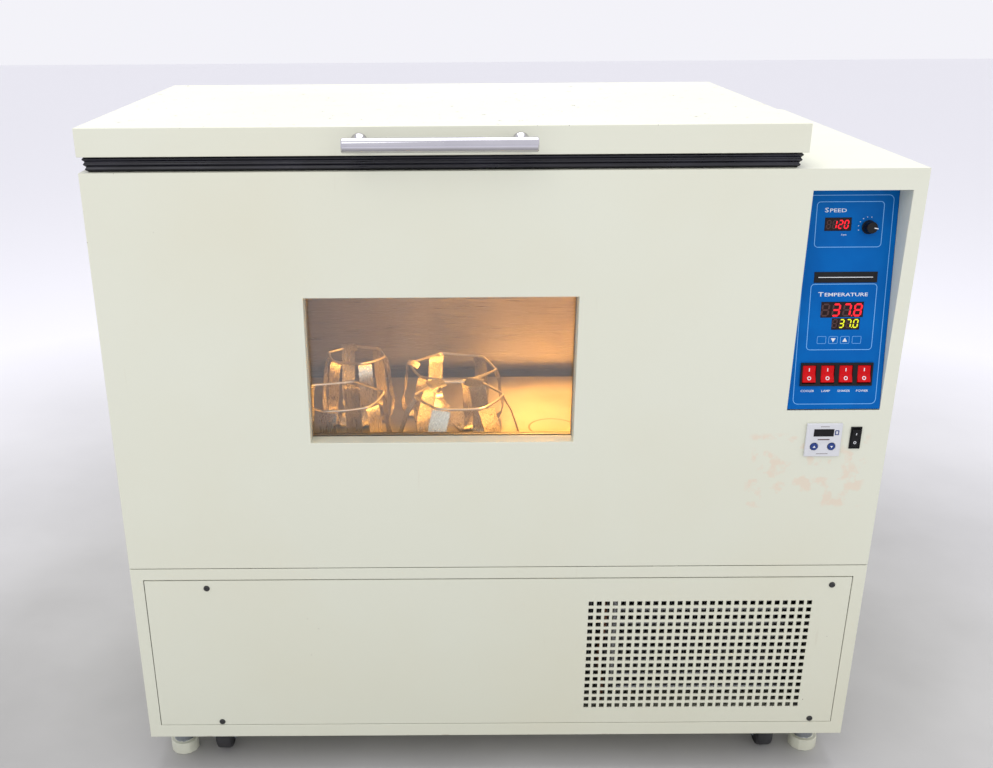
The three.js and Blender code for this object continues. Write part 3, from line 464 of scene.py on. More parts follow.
def service_panel():
    """Perforated panel: a grid of cells with the holes left out, given its sheet thickness."""
    low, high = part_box("access_panel")
    xs, zs = vent_centres()
    cuts_x = [low.x] + [x + side * VENT_HOLE / 2 for x in xs for side in (-1, 1)] + [high.x]
    cuts_z = [low.z] + [z + side * VENT_HOLE / 2 for z in zs for side in (-1, 1)] + [high.z]
    bm = bmesh.new()
    layers = [
        [[bm.verts.new((x, y, z)) for z in cuts_z] for x in cuts_x]
        for y in (low.y, low.y + PANEL_SHEET)
    ]

    def solid(i, j):
        inside = 0 <= i < len(cuts_x) - 1 and 0 <= j < len(cuts_z) - 1
        return inside and not (i % 2 == 1 and j % 2 == 1)

    for i in range(len(cuts_x) - 1):
        for j in range(len(cuts_z) - 1):
            if not solid(i, j):
                continue
            for g in layers:
                bm.faces.new([g[i][j], g[i + 1][j], g[i + 1][j + 1], g[i][j + 1]])
            borders = (
                ((i, j), (i, j + 1), (i - 1, j)),
                ((i + 1, j), (i + 1, j + 1), (i + 1, j)),
                ((i, j), (i + 1, j), (i, j - 1)),
                ((i, j + 1), (i + 1, j + 1), (i, j + 1)),
            )
            for a, b, beyond in borders:
                if not solid(*beyond):
                    f, r = layers
                    bm.faces.new([f[a[0]][a[1]], f[b[0]][b[1]], r[b[0]][b[1]], r[a[0]][a[1]]])
    depth = high.y
    inner_y = low.y + PANEL_SHEET
    box_in(bm, (low.x, inner_y, low.z), (low.x + PANEL_SHEET, depth, high.z))
    box_in(bm, (high.x - PANEL_SHEET, inner_y, low.z), (high.x, depth, high.z))
    box_in(bm, (low.x + PANEL_SHEET, inner_y, low.z), (high.x - PANEL_SHEET, depth, low.z + PANEL_SHEET))
    box_in(bm, (low.x + PANEL_SHEET, inner_y, high.z - PANEL_SHEET), (high.x - PANEL_SHEET, depth, high.z))
    piece("service_panel", bm, "panel", replaces=("access_panel",))


SCREW_HEAD = [(0, 0), (4.6 * MM, 0), (4.3 * MM, 1.2 * MM), (2.6 * MM, 2.1 * MM), (0, 1.3 * MM)]


def panel_screws():
    """Four black pan-head screws with dished heads, in the corners of the service panel."""
    low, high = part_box("access_panel")
    upper, lower = high.z - 12.5 * MM, low.z + 5.5 * MM
    bm = bmesh.new()
    for x, z in (
        (low.x + 90 * MM, upper), (high.x - 28 * MM, upper),
        (low.x + 94 * MM, lower), (high.x - 32.5 * MM, lower),
    ):
        lathe_in(bm, SCREW_HEAD, facing(Vector((x, low.y, z)), (0, -1, 0)), 24)
    piece("panel_screws", bm, "screw")


POST_INSET = 20 * MM
POST_RADIUS = 5.4 * MM
ROSETTE_SIDES = 14


def lid_handle():
    """Chrome bar on two posts, each with a faceted rosette against the lid."""
    low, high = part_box("lid_handle")
    radius = (high.z - low.z) / 2
    z = (low.z + high.z) / 2
    y = low.y + radius
    length = high.x - low.x
    chamfer = 1.4 * MM
    bm = bmesh.new()
    bar = [
        (0, 0), (radius - chamfer, 0), (radius, chamfer),
        (radius, length - chamfer), (radius - chamfer, length), (0, length),
    ]
    lathe_in(bm, bar, facing(Vector((low.x, y, z)), (1, 0, 0)), 48)
    span = high.y - y
    post = [
        (0, 0), (11 * MM, 0), (11.4 * MM, 1.4 * MM), (10.4 * MM, 3.4 * MM), (7.0 * MM, 8 * MM),
        (POST_RADIUS, 11 * MM), (POST_RADIUS, span - 2 * MM), (0, span - 2 * MM),
    ]
    for x in (low.x + POST_INSET, high.x - POST_INSET):
        lathe_in(bm, post, facing(Vector((x, high.y, z)), (0, -1, 0)), ROSETTE_SIDES)
    piece("handle_bar", bm, "chrome", "lid", ("lid_handle",), 40)


GASKET_RIBS = 3
GASKET_RIB = 2.3 * MM
GASKET_TAPER = 3.2 * MM
GASKET_DEPTH_TOP = 30 * MM
GASKET_DEPTH_FOOT = 27 * MM
GASKET_STEPS = 18


def gasket():
    """Ribbed rubber section carried round the lid with mitred corners."""
    low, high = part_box("lid_gasket")
    height = high.z - low.z
    outer = []
    for k in range(GASKET_STEPS + 1):
        t = k / GASKET_STEPS
        wave = GASKET_RIB * (0.5 - 0.5 * math.cos(2 * math.pi * GASKET_RIBS * t))
        outer.append((GASKET_TAPER * (1 - t) ** 2 + GASKET_RIB - wave, low.z + t * height))
    section = outer + [(GASKET_DEPTH_TOP, high.z), (GASKET_DEPTH_FOOT, low.z)]
    bm = bmesh.new()
    rings = []
    for inset, z in section:
        x0, x1, y0, y1 = low.x + inset, high.x - inset, low.y + inset, high.y - inset
        rings.append([bm.verts.new(p) for p in ((x0, y0, z), (x1, y0, z), (x1, y1, z), (x0, y1, z))])
    for k, ring in enumerate(rings):
        after = rings[(k + 1) % len(rings)]
        for j in range(4):
            n = (j + 1) % 4
            bm.faces.new([ring[j], ring[n], after[n], after[j]])
    piece("lid_seal", bm, "rubber", "lid", ("lid_gasket",), 60)


PANE = 3.6 * MM
SPACER_WIDTH = 4.2 * MM
SPACER_GAP = 0.1 * MM


def window():
    """Two panes with an aluminium spacer between their edges."""
    low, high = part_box("window_unit")
    for name, y in (("window_pane_outer", low.y), ("window_pane_inner", high.y - PANE)):
        bm = bmesh.new()
        box_in(bm, (low.x, y, low.z), (high.x, y + PANE, high.z))
        replaced = ("window_unit",) if y == low.y else ()
        piece(name, bm, "glass", replaces=replaced, bevel=0.4 * MM)
    gap_low, gap_high = low.y + PANE + SPACER_GAP, high.y - PANE - SPACER_GAP
    wide = SPACER_WIDTH
    bm = bmesh.new()
    for a, b in (
        ((low.x, low.z), (high.x, low.z + wide)),
        ((low.x, high.z - wide), (high.x, high.z)),
        ((low.x, low.z + wide), (low.x + wide, high.z - wide)),
        ((high.x - wide, low.z + wide), (high.x, high.z - wide)),
    ):
        box_in(bm, (a[0], gap_low, a[1]), (b[0], gap_high, b[1]))
    piece("window_spacer", bm, "aluminium")


# ---------------------------------------------------------------- control panel
KNOB_JOINT = JOINTS["speed_knob_turn"]
KNOB_S = 244.9 * MM
INWARD = Vector(KNOB_JOINT["axis"])
OUT = -INWARD
UP = OUT.cross(Vector((1, 0, 0)))
UP = UP if UP.z > 0 else -UP
KNOB_PLACE = Vector(KNOB_JOINT["pos_m"])
PANEL_ORIGIN = KNOB_PLACE - Vector((KNOB_PLACE.x, 0, 0)) - KNOB_S * UP
# Local x is the cabinet's X, local y runs up the slope, local z stands out of the panel.
PANEL = Matrix.Translation(PANEL_ORIGIN) @ Matrix((Vector((1, 0, 0)), UP, OUT)).transposed().to_4x4()
INK = 0.12 * MM


def plate_in(bm, x0, x1, s0, s1, low=0.0, high=INK, matrix=PANEL):
    box_in(bm, (x0 * MM, s0 * MM, low), (x1 * MM, s1 * MM, high), matrix)


def round_corners(x0, x1, s0, s1, radius, steps=6):
    left, right, foot, top = x0 + radius, x1 - radius, s0 + radius, s1 - radius
    centres = (right, top), (left, top), (left, foot), (right, foot)
    points = []
    for quarter, (cx, cs) in enumerate(centres):
        for k in range(steps + 1):
            a = math.pi / 2 * (quarter + k / steps)
            points.append((cx + radius * math.cos(a), cs + radius * math.sin(a)))
    return points


def outline_in(bm, x0, x1, s0, s1, radius, width, high=INK, matrix=PANEL):
    """A printed line round a rectangle with round corners, in millimetres."""
    outer = round_corners(x0, x1, s0, s1, radius)
    inner = round_corners(x0 + width, x1 - width, s0 + width, s1 - width, radius - width)
    loops = [
        [bm.verts.new(matrix @ Vector((x * MM, s * MM, h))) for x, s in points]
        for points, h in ((outer, 0), (outer, high), (inner, high), (inner, 0))
    ]
    count = len(outer)
    for a, b in zip(loops, loops[1:] + loops[:1]):
        for k in range(count):
            n = (k + 1) % count
            bm.faces.new([a[k], a[n], b[n], b[k]])


def prism_in(bm, points, low, high, matrix=PANEL):
    """A flat shape with straight sides, from low to high above the face."""
    bottom = [bm.verts.new(matrix @ Vector((x * MM, s * MM, low))) for x, s in points]
    top = [bm.verts.new(matrix @ Vector((x * MM, s * MM, high))) for x, s in points]
    bm.faces.new(bottom[::-1])
    bm.faces.new(top)
    for k in range(len(points)):
        n = (k + 1) % len(points)
        bm.faces.new([bottom[k], bottom[n], top[n], top[k]])


LETTER_GAP = 0.09  # of the letter size, between the first letter and the rest
BASELINE_DROP = 0.3


def words_in(bm, text, size, x, s, wide=1.0, bold=0.0, small=0.82, matrix=PANEL):
    """Plain generic lettering centred on x, s, in millimetres.

    small is the size of the letters after the first, as a share of it.
    """
    at = 0.0
    shapes = []
    for k, part in enumerate((text[:1], text[1:])):
        if not part:
            continue
        curve = bpy.data.curves.new("words", "FONT")
        curve.body = part
        curve.size = size * (1.0 if k == 0 else small) * MM
        curve.extrude = INK / 2
        curve.offset = bold * MM
        curve.resolution_u = 2
        holder = bpy.data.objects.new("words", curve)
        bpy.context.scene.collection.objects.link(holder)
        bpy.context.view_layer.update()
        mesh = bpy.data.meshes.new_from_object(holder)
        mesh.transform(Matrix.Diagonal((wide, 1, 1, 1)))
        mesh.transform(Matrix.Translation((at, 0, 0)))
        at = max(v.co.x for v in mesh.vertices) + LETTER_GAP * size * wide * MM
        shapes.append(mesh)
        bpy.data.objects.remove(holder)
        bpy.data.curves.remove(curve)
    for mesh in shapes:
        centred = (x * MM - at / 2, (s - size * BASELINE_DROP) * MM, INK / 2)
        mesh.transform(matrix @ Matrix.Translation(centred))
        bm.from_mesh(mesh)
        bpy.data.meshes.remove(mesh)


SEGMENT_BAR = 0.15  # of the digit height
SEGMENT_GAP = 0.2  # of the bar
SEGMENT_TIP = 0.45
DIGIT_LEAN = 0.12
DIGITS_SUNK = -0.5 * MM
SEGMENTS = {"0": "abcdef", "1": "bc", "2": "abdeg", "3": "abcdg", "7": "abc", "8": "abcdefg", " ": ""}


def digit_in(lit, dark, character, x, s, width, height, matrix, raised):
    """One seven-segment digit, its lower left corner at x, s, leaning like the real ones."""
    bar = height * SEGMENT_BAR
    half = height / 2
    ends = {
        "a": ((0, height), (width, height)), "d": ((0, 0), (width, 0)), "g": ((0, half), (width, half)),
        "f": ((0, half), (0, height)), "b": ((width, half), (width, height)),
        "e": ((0, 0), (0, half)), "c": ((width, 0), (width, half)),
    }
    for name, (a, b) in ends.items():
        a, b = Vector(a), Vector(b)
        ahead = (b - a).normalized()
        side = Vector((-ahead.y, ahead.x)) * bar / 2
        a, b = a + ahead * bar * SEGMENT_GAP, b - ahead * bar * SEGMENT_GAP
        tip = ahead * bar * SEGMENT_TIP
        shape = [a, a + tip - side, b - tip - side, b, b - tip + side, a + tip + side]
        points = [(x + p.x + DIGIT_LEAN * p.y, s + p.y) for p in shape]
        prism_in(lit if name in SEGMENTS[character] else dark, points, raised, raised + INK, matrix)


def display(name, text, x0, s0, width, height, pitch, lit_material, point_after=None):
    """A row of digits just above the lens of an instrument."""
    lit, dark = bmesh.new(), bmesh.new()
    raised = DIGITS_SUNK
    for k, character in enumerate(text):
        digit_in(lit, dark, character, x0 + k * pitch, s0, width, height, PANEL, raised)
    if point_after is not None:
        x = x0 + point_after * pitch + width + 0.16 * height
        plate_in(lit, x, x + 0.11 * height, s0 - 0.06 * height, s0 + 0.05 * height, raised, raised + INK)
    piece(name + "_lit", lit, lit_material)
    piece(name + "_unlit", dark, "ghost")


# The printed overlay, in millimetres: x0, x1 across the cabinet and s0, s1 up the slope.
BORDER = (396.4, 508.9, 8.6, 286.3)
SPEED_FRAME = (409, 497, 219, 278)
TEMPERATURE_FRAME = (409, 497, 83, 171.5)
KEY_XS = (428.8, 444.3, 460, 475.7)
KEY_HALF = 6
KEY_RISE = (91.6, 101.6)
KEY_MIDDLE = 96.6
BADGE = (412.4, 496, 172.9, 187.2)
BADGE_RULE = (418, 490, 179.6, 180.5)
BADGE_HEIGHT = 0.5 * MM
LABEL_XS = (415.3, 440, 464.6, 489.3)
LABEL_S = 27.0
DIAL_RADIUS = 13.2
DIAL_DOTS = 6
DIAL_START = 196
DIAL_STEP = 24
# Overlay strips that leave the two digit windows of the temperature controller their outline.
COVER_STRIPS = (
    (423, 440.4, 110.2, 126.6), (423, 424.7, 126.6, 147.6), (440.4, 477.9, 125.9, 127.0),
    (477.9, 484.0, 110.2, 127.0), (481.4, 484.0, 127.0, 147.6),
)


def panel_face():
    softened("control_panel", "blue", 0.3 * MM)
    softened("speed_display", "lens", 0.2 * MM)
    softened("temperature_controller", "lens", 0.2 * MM)
    softened("switch_bezel", "black", 0.6 * MM)

    lines = bmesh.new()
    outline_in(lines, *BORDER, 7, 0.75)
    outline_in(lines, *SPEED_FRAME, 5, 0.8)
    outline_in(lines, *TEMPERATURE_FRAME, 5, 0.8)
    for x in KEY_XS:
        outline_in(lines, x - KEY_HALF, x + KEY_HALF, *KEY_RISE, 1.2, 0.45)
    piece("panel_lines", lines, "line")

    words = bmesh.new()
    words_in(words, "SPEED", 8.2, 434.5, 266.8, 1.5, 0.04)
    words_in(words, "rpm", 3.8, 447, 235.6, 1.2, 0.02)
    words_in(words, "TEMPERATURE", 8.0, 453, 157.4, 1.48, 0.04)
    for x, label in zip(LABEL_XS, ("COOLER", "LAMP", "SHAKER", "POWER")):
        words_in(words, label, 4.1, x, LABEL_S, 1.12, 0.03, 1.0)
    for x, tip in ((KEY_XS[1], -1), (KEY_XS[2], 1)):
        foot = KEY_MIDDLE - 2.4 * tip
        prism_in(words, [(x - 3.2, foot), (x + 3.2, foot), (x, KEY_MIDDLE + 3 * tip)], 0, INK)
    for k in range(DIAL_DOTS):
        a = math.radians(DIAL_START - k * DIAL_STEP)
        x = KNOB_PLACE.x / MM + DIAL_RADIUS * math.cos(a)
        s = KNOB_S / MM + DIAL_RADIUS * math.sin(a)
        plate_in(words, x - 0.5, x + 0.5, s - 0.5, s + 0.5)
    piece("panel_words", words, "white")

    badge = bmesh.new()
    plate_in(badge, *BADGE, 0, BADGE_HEIGHT)
    piece("panel_badge", badge, "black", bevel=0.1 * MM)
    rule = bmesh.new()
    plate_in(rule, *BADGE_RULE, BADGE_HEIGHT, BADGE_HEIGHT + INK)
    piece("badge_rule", rule, "white")
    cover = bmesh.new()
    for strip in COVER_STRIPS:
        plate_in(cover, *strip, -0.3 * MM, 0.05 * MM)
    piece("overlay_corner", cover, "blue")

    display("speed_digits", " 120", 423.6, 243.6, 4.6, 10, 7.7, "red_on")
    display("actual_digits", " 378", 425.8, 129.2, 8.6, 15, 14.4, "red_on", 2)
    display("target_digits", " 370", 441.4, 113.4, 5.4, 10.4, 9.3, "yellow_on", 2)


KNOB_RADIUS = 9.0 * MM
KNOB_HEIGHT = 14.2 * MM
KNOB_FLUTES = 16
KNOB_STEPS = 96
FLUTE_DEPTH = 0.045  # of the radius
POINTER_TURN = math.radians(-10)


def knob():
    """Fluted knob with a white pointer on its flat cap."""
    radius, height = KNOB_RADIUS, KNOB_HEIGHT
    place = facing(KNOB_PLACE + OUT * 0.7 * MM, OUT, UP)
    bm = bmesh.new()
    steps = KNOB_STEPS
    # Share of the radius, height, and 1 where the side is fluted.
    skirt = ((1.0, 0, 0), (1.0, 1.6 * MM, 0))
    grip = ((0.92, 2.2 * MM, 1), (0.84, height - 1.2 * MM, 1), (0.76, height, 0))
    rings = []
    for share, z, flute in skirt + grip:
        ring = []
        for k in range(steps):
            a = 2 * math.pi * k / steps
            r = radius * (share - FLUTE_DEPTH * flute * (0.5 + 0.5 * math.cos(a * KNOB_FLUTES)))
            ring.append(bm.verts.new(place @ Vector((r * math.cos(a), r * math.sin(a), z))))
        rings.append(ring)
    for low, high in zip(rings, rings[1:]):
        for k in range(steps):
            n = (k + 1) % steps
            bm.faces.new([low[k], low[n], high[n], high[k]])
    bm.faces.new(rings[0])
    bm.faces.new(rings[-1])
    lathe_in(bm, [(0, -8 * MM), (3 * MM, -8 * MM), (3 * MM, -0.1 * MM), (0, -0.1 * MM)], place, 16)
    piece("speed_knob_finished", bm, "black", "knob", ("speed_knob",), 40)
    bm = bmesh.new()
    pointer = place @ Matrix.Rotation(POINTER_TURN, 4, "Z")
    box_in(bm, (2.5 * MM, -0.6 * MM, height), (7.6 * MM, 0.6 * MM, height + 0.2 * MM), pointer)
    piece("knob_pointer", bm, "white", "knob")


ROCKER_REST_TILT = math.radians(9)
ROCKER_RISE = 5.2 * MM
ROCKER_DIP = 3.4 * MM
ROCKER_HALF = 11.4 * MM
AUX_HALF = 13.35 * MM
AUX_REST_TILT = -math.radians(7)
MARK_HEIGHT = 0.15 * MM


def rocker_frame(joint, rest_tilt, panel_lean):
    """Local x along X, y up the lever, z out of it, at the lever's pivot."""
    turn = Matrix.Rotation(-rest_tilt - panel_lean, 4, "X")
    base = Matrix((Vector((1, 0, 0)), Vector((0, 0, 1)), Vector((0, -1, 0)))).transposed().to_4x4()
    return Matrix.Translation(Vector(JOINTS[joint]["pos_m"])) @ turn @ base


def rocker_marks(name, joint, body, half, size, tilt, lean):
    """A bar on the upper half and a ring on the lower half of a rocker."""
    frame_of_lever = rocker_frame(joint, tilt, lean)
    slope = math.atan2(ROCKER_RISE - ROCKER_DIP, half)
    bm = bmesh.new()
    for sign in (1, -1):
        centre = half * 0.5
        lift = ROCKER_DIP + (ROCKER_RISE - ROCKER_DIP) * 0.5 + 0.02 * MM
        lifted = frame_of_lever @ Matrix.Translation((0, sign * centre, lift))
        face = lifted @ Matrix.Rotation(sign * slope, 4, "X")
        if sign > 0:
            box_in(bm, (-0.14 * size, -0.5 * size, 0), (0.14 * size, 0.5 * size, MARK_HEIGHT), face)
        else:
            inner, outer = 0.36 * size, 0.6 * size
            ring = [(inner, 0), (outer, 0), (outer, MARK_HEIGHT), (inner, MARK_HEIGHT), (inner, 0)]
            lathe_in(bm, ring, face, 24)
    bmesh.ops.remove_doubles(bm, verts=bm.verts, dist=SEAM)
    piece(name, bm, "white", body)


def rockers():
    lean = math.atan2(-INWARD.z, INWARD.y)
    for use in ("cooler", "lamp", "shaker", "power"):
        softened(f"rocker_{use}", "rocker", 0.7 * MM, 3)
        names = f"{use}_marks", f"{use}_rocker", f"{use}_switch"
        rocker_marks(*names, ROCKER_HALF, 4.4 * MM, ROCKER_REST_TILT, lean)
    softened("aux_rocker", "black", 0.5 * MM)
    rocker_marks("aux_marks", "aux_rocker_tip", "aux_switch", AUX_HALF, 3.4 * MM, AUX_REST_TILT, 0)
    low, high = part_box("aux_rocker")
    bm = bmesh.new()
    wide, tall = 1.6 * MM, 2.2 * MM
    y0, y1 = FRONT - 1.4 * MM, FRONT - 0.1 * MM
    x0, x1 = low.x - wide - 0.3 * MM, high.x + wide + 0.3 * MM
    z0, z1 = low.z - tall, high.z + tall
    hole = (low.x - 0.4 * MM, high.x + 0.4 * MM, low.z - 0.5 * MM, high.z + 0.5 * MM)
    box_in(bm, (x0, y0, z0), (hole[0], y1, z1))
    box_in(bm, (hole[1], y0, z0), (x1, y1, z1))
    box_in(bm, (hole[0], y0, z0), (hole[1], y1, hole[2]))
    box_in(bm, (hole[0], y0, hole[3]), (hole[1], y1, z1))
    piece("aux_switch_frame", bm, "black")


def timer():
    softened("timer_module", "grey", 0.9 * MM, 3)
    for key in ("timer_key_up", "timer_key_down"):
        softened(key, "navy", 0.5 * MM, 3)
    low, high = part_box("timer_module")
    face = facing(Vector(((low.x + high.x) / 2, low.y, (low.z + high.z) / 2)), (0, -1, 0))
    dark = bmesh.new()
    plate_in(dark, -14.5, 13.0, 5.6, 16.4, 0, 0.25 * MM, face)
    piece("timer_window", dark, "black", bevel=0.1 * MM)
    blue = bmesh.new()
    outline_in(blue, 14.4, 20.0, 7.6, 14.6, 0.8, 1.3, 0.15 * MM, face)
    piece("timer_mark", blue, "navy")
    rules = bmesh.new()
    plate_in(rules, -8, 8, 0.2, 1.6, 0, INK, face)
    plate_in(rules, -6, 6, 19.6, 20.2, 0, INK, face)
    plate_in(rules, -8, 8, -20.4, -19.8, 0, INK, face)
    piece("timer_rules", rules, "ghost")
    for key, tip in (("timer_key_up", 1), ("timer_key_down", -1)):
        a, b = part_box(key)
        spot = facing(Vector(((a.x + b.x) / 2, a.y, (a.z + b.z) / 2)), (0, -1, 0))
        body = "timer_up" if tip > 0 else "timer_down"
        mark = bmesh.new()
        prism_in(mark, [(-2, -1.2 * tip), (2, -1.2 * tip), (0, 1.8 * tip)], 0, INK, spot)
        piece(key + "_mark", mark, "white", body)


# ---------------------------------------------------------------- inside the chamber
def strip_in(bm, path, width, thickness, matrix):
    """A sprung strip: path is (radius, height) along its middle, and it is wide across the leg."""
    loops = []
    for k, (r, z) in enumerate(path):
        before = Vector(path[max(k - 1, 0)])
        after = Vector(path[min(k + 1, len(path) - 1)])
        ahead = (after - before).normalized()
        out = Vector((ahead.y, -ahead.x)) * thickness / 2
        w = width / 2
        loops.append([
            bm.verts.new(matrix @ Vector((r + out.x, -w, z + out.y))),
            bm.verts.new(matrix @ Vector((r + out.x, w, z + out.y))),
            bm.verts.new(matrix @ Vector((r - out.x, w, z - out.y))),
            bm.verts.new(matrix @ Vector((r - out.x, -w, z - out.y))),
        ])
    for a, b in zip(loops, loops[1:]):
        for k in range(4):
            n = (k + 1) % 4
            bm.faces.new([a[k], a[n], b[n], b[k]])
    bm.faces.new(loops[0][::-1])
    bm.faces.new(loops[-1])


CLAMP_LEGS = 6
CLAMP_SHEET = 1.4 * MM
CLAMP_WIRE = 2 * MM
CLAMP_FOOT_RADIUS = 40 * MM
STUD_HEAD = [(0, 0), (4.2 * MM, 0), (4.0 * MM, 1.8 * MM), (2 * MM, 2.6 * MM), (0, 2.6 * MM)]
LEG_LEAD = math.radians(6)  # each leg stands a little ahead of the ring's corner
# Ring radius, belly radius, turn in degrees, leg width, and which legs hook over the ring.
CLAMP_RINGS = {
    "flask_clamp_centre_front": (68, 95, 0, 29, (1, 2)),
    "flask_clamp_centre_back": (74, 87, -15, 26, (3,)),
    "flask_clamp_left_front": (68, 79, 14, 26, ()),
    "flask_clamp_left_back": (49, 61, -16, 23, (2,)),
}


def flask_clamp(node, ring_radius, foot, turn, leg_width, hooked):
    """Foot plate, six bellied legs, and a bent wire ring that some legs hook over."""
    low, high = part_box(node)
    height = high.z - low.z
    wire, legs, sheet = CLAMP_WIRE, CLAMP_LEGS, CLAMP_SHEET
    base = Vector(((low.x + high.x) / 2, (low.y + high.y) / 2, low.z))
    ring_z = height - wire - 2.2 * MM
    foot -= 1.5 * MM
    shank = [
        (10 * MM, sheet), (foot * 0.66, sheet), (foot * 0.84, 2.4 * MM), (foot * 0.93, 7 * MM),
        (foot * 0.985, 16 * MM), (foot, 28 * MM), (foot * 0.99, height * 0.36), (foot * 0.94, height * 0.5),
        (ring_radius + (foot - ring_radius) * 0.42, height * 0.74),
    ]
    under = [(ring_radius + 1 * MM, ring_z - 9 * MM), (ring_radius - 2 * MM, ring_z - 3.2 * MM)]
    over = [
        (ring_radius + 2.6 * MM, ring_z - 6 * MM), (ring_radius + 3.1 * MM, ring_z),
        (ring_radius + 1.6 * MM, ring_z + 3.2 * MM), (ring_radius - 7 * MM, ring_z + 2.9 * MM),
        (ring_radius - 17 * MM, ring_z - 3 * MM),
    ]
    bm = bmesh.new()
    plate = [(0, 0), (CLAMP_FOOT_RADIUS, 0), (CLAMP_FOOT_RADIUS, sheet), (0, sheet)]
    lathe_in(bm, plate, Matrix.Translation(base), 40)
    corners = []
    for k in range(legs):
        a = math.radians(turn) + 2 * math.pi * k / legs
        out = Vector((math.cos(a), math.sin(a), 0))
        spin = Matrix.Translation(base) @ Matrix.Rotation(a + LEG_LEAD, 4, "Z")
        strip_in(bm, shank + (over if k in hooked else under), leg_width * MM, sheet, spin)
        corners.append(base + out * ring_radius + Vector((0, 0, ring_z)))
        stud = facing(base + out * foot * 0.5 + Vector((0, 0, sheet)), (0, 0, 1), Vector((0, 1, 0)))
        lathe_in(bm, STUD_HEAD, stud, 16)
    loop = []
    for k in range(legs):
        here, after = corners[k], corners[(k + 1) % legs]
        for t in (0.05, 0.12, 0.3, 0.5, 0.7, 0.88, 0.95):
            bow = 1 + 0.03 * math.sin(math.pi * t)
            point = here.lerp(after, t)
            sag = -1.2 * MM * math.sin(math.pi * t)
            middle = Vector((base.x, base.y, 0))
            flat = Vector((point.x, point.y, 0)) - middle
            loop.append(middle + flat * bow + Vector((0, 0, point.z + sag)))
    ring = bmesh.new()
    tube_in(ring, loop, wire, 10, True)
    piece(node + "_ring", ring, "wire", "platform_body")
    piece(node + "_finished", bm, "clamp", "platform_body", (node,), 40)


def chamber():
    plain("chamber_liner", "steel")
    softened("rear_baffle", "steel", 0.4 * MM)
    softened("platform", "platform", 1.0 * MM, 3)
    for node, (ring_radius, foot, turn, leg_width, hooked) in CLAMP_RINGS.items():
        flask_clamp(node, ring_radius * MM, foot * MM, turn, leg_width, hooked)
    softened("chamber_lamp", "lamp", 2 * MM, 3)
    softened("circulation_fan", "aluminium", 0.4 * MM)


def plain(node, material):
    """Gives a carried-over CAD node a better material."""
    mesh = frame["nodes"][node].data
    mesh.materials.clear()
    mesh.materials.append(M[material])


# ---------------------------------------------------------------- behind the grille, drive, feet
FIN = 0.5 * MM
FIN_PITCH = 4.2 * MM
TUBE_RADIUS = 4.4 * MM
HEADER_INSET = 62 * MM
SUCTION_BENDS = 12


def condenser():
    """Finned block with its tubes in front of the fins, as seen through the service panel."""
    low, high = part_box("condenser")
    bm = bmesh.new()
    fin, pitch = FIN, FIN_PITCH
    count = int((high.x - low.x - 20 * MM) / pitch)
    for k in range(count):
        x = low.x + 10 * MM + k * pitch
        box_in(bm, (x, low.y + 14 * MM, low.z + 36 * MM), (x + fin, high.y - 6 * MM, high.z - 2 * MM))
    for x in (low.x, high.x - 2 * MM):
        box_in(bm, (x, low.y, low.z), (x + 2 * MM, high.y, high.z))
    piece("condenser_fins", bm, "aluminium", replaces=("condenser",))
    bm = bmesh.new()
    _, rows = vent_centres()
    header = low.x + HEADER_INSET
    for z in rows[::2]:
        ends = [Vector((x, low.y + 10 * MM, z)) for x in (header, high.x - 8 * MM)]
        tube_in(bm, ends, TUBE_RADIUS, 14)
    ends = [Vector((header, low.y + 6 * MM, z)) for z in (rows[0], high.z - 6 * MM)]
    tube_in(bm, ends, TUBE_RADIUS, 14)
    piece("condenser_tubes", bm, "aluminium")
    bm = bmesh.new()
    x = low.x + 44 * MM
    bend = [
        Vector((x + 3 * MM * math.sin(k * 0.9), low.y + 5 * MM, low.z + (20 + k * 18) * MM))
        for k in range(SUCTION_BENDS)
    ]
    tube_in(bm, bend, 4 * MM, 14)
    piece("suction_line", bm, "rust")


def working_parts():
    finishes = {
        "machined": (
            "main_crank", "idler_crank_left", "idler_crank_right", "drive_deck", "platform_carrier",
            "lid_hinge_pin",
        ),
        "iron": ("motor", "compressor", "condenser_fan_motor", "counterweight"),
        "aluminium": ("drive_pulley", "motor_pulley", "condenser_fan"),
        "pan": ("lid_liner",),
        "steel": ("lid_hinge_base", "lid_hinge_leaf"),
        "rubber": ("drive_belt",),
        "black": ("power_inlet",),
    }
    for material, members in finishes.items():
        for node in members:
            if node in ("power_inlet", "lid_hinge_base", "lid_hinge_leaf"):
                softened(node, material, 0.4 * MM)
            else:
                plain(node, material)


FOOT_CUP = 20.5 * MM
WHEEL_BORE = 4 * MM
TREAD_ROUND = 5 * MM


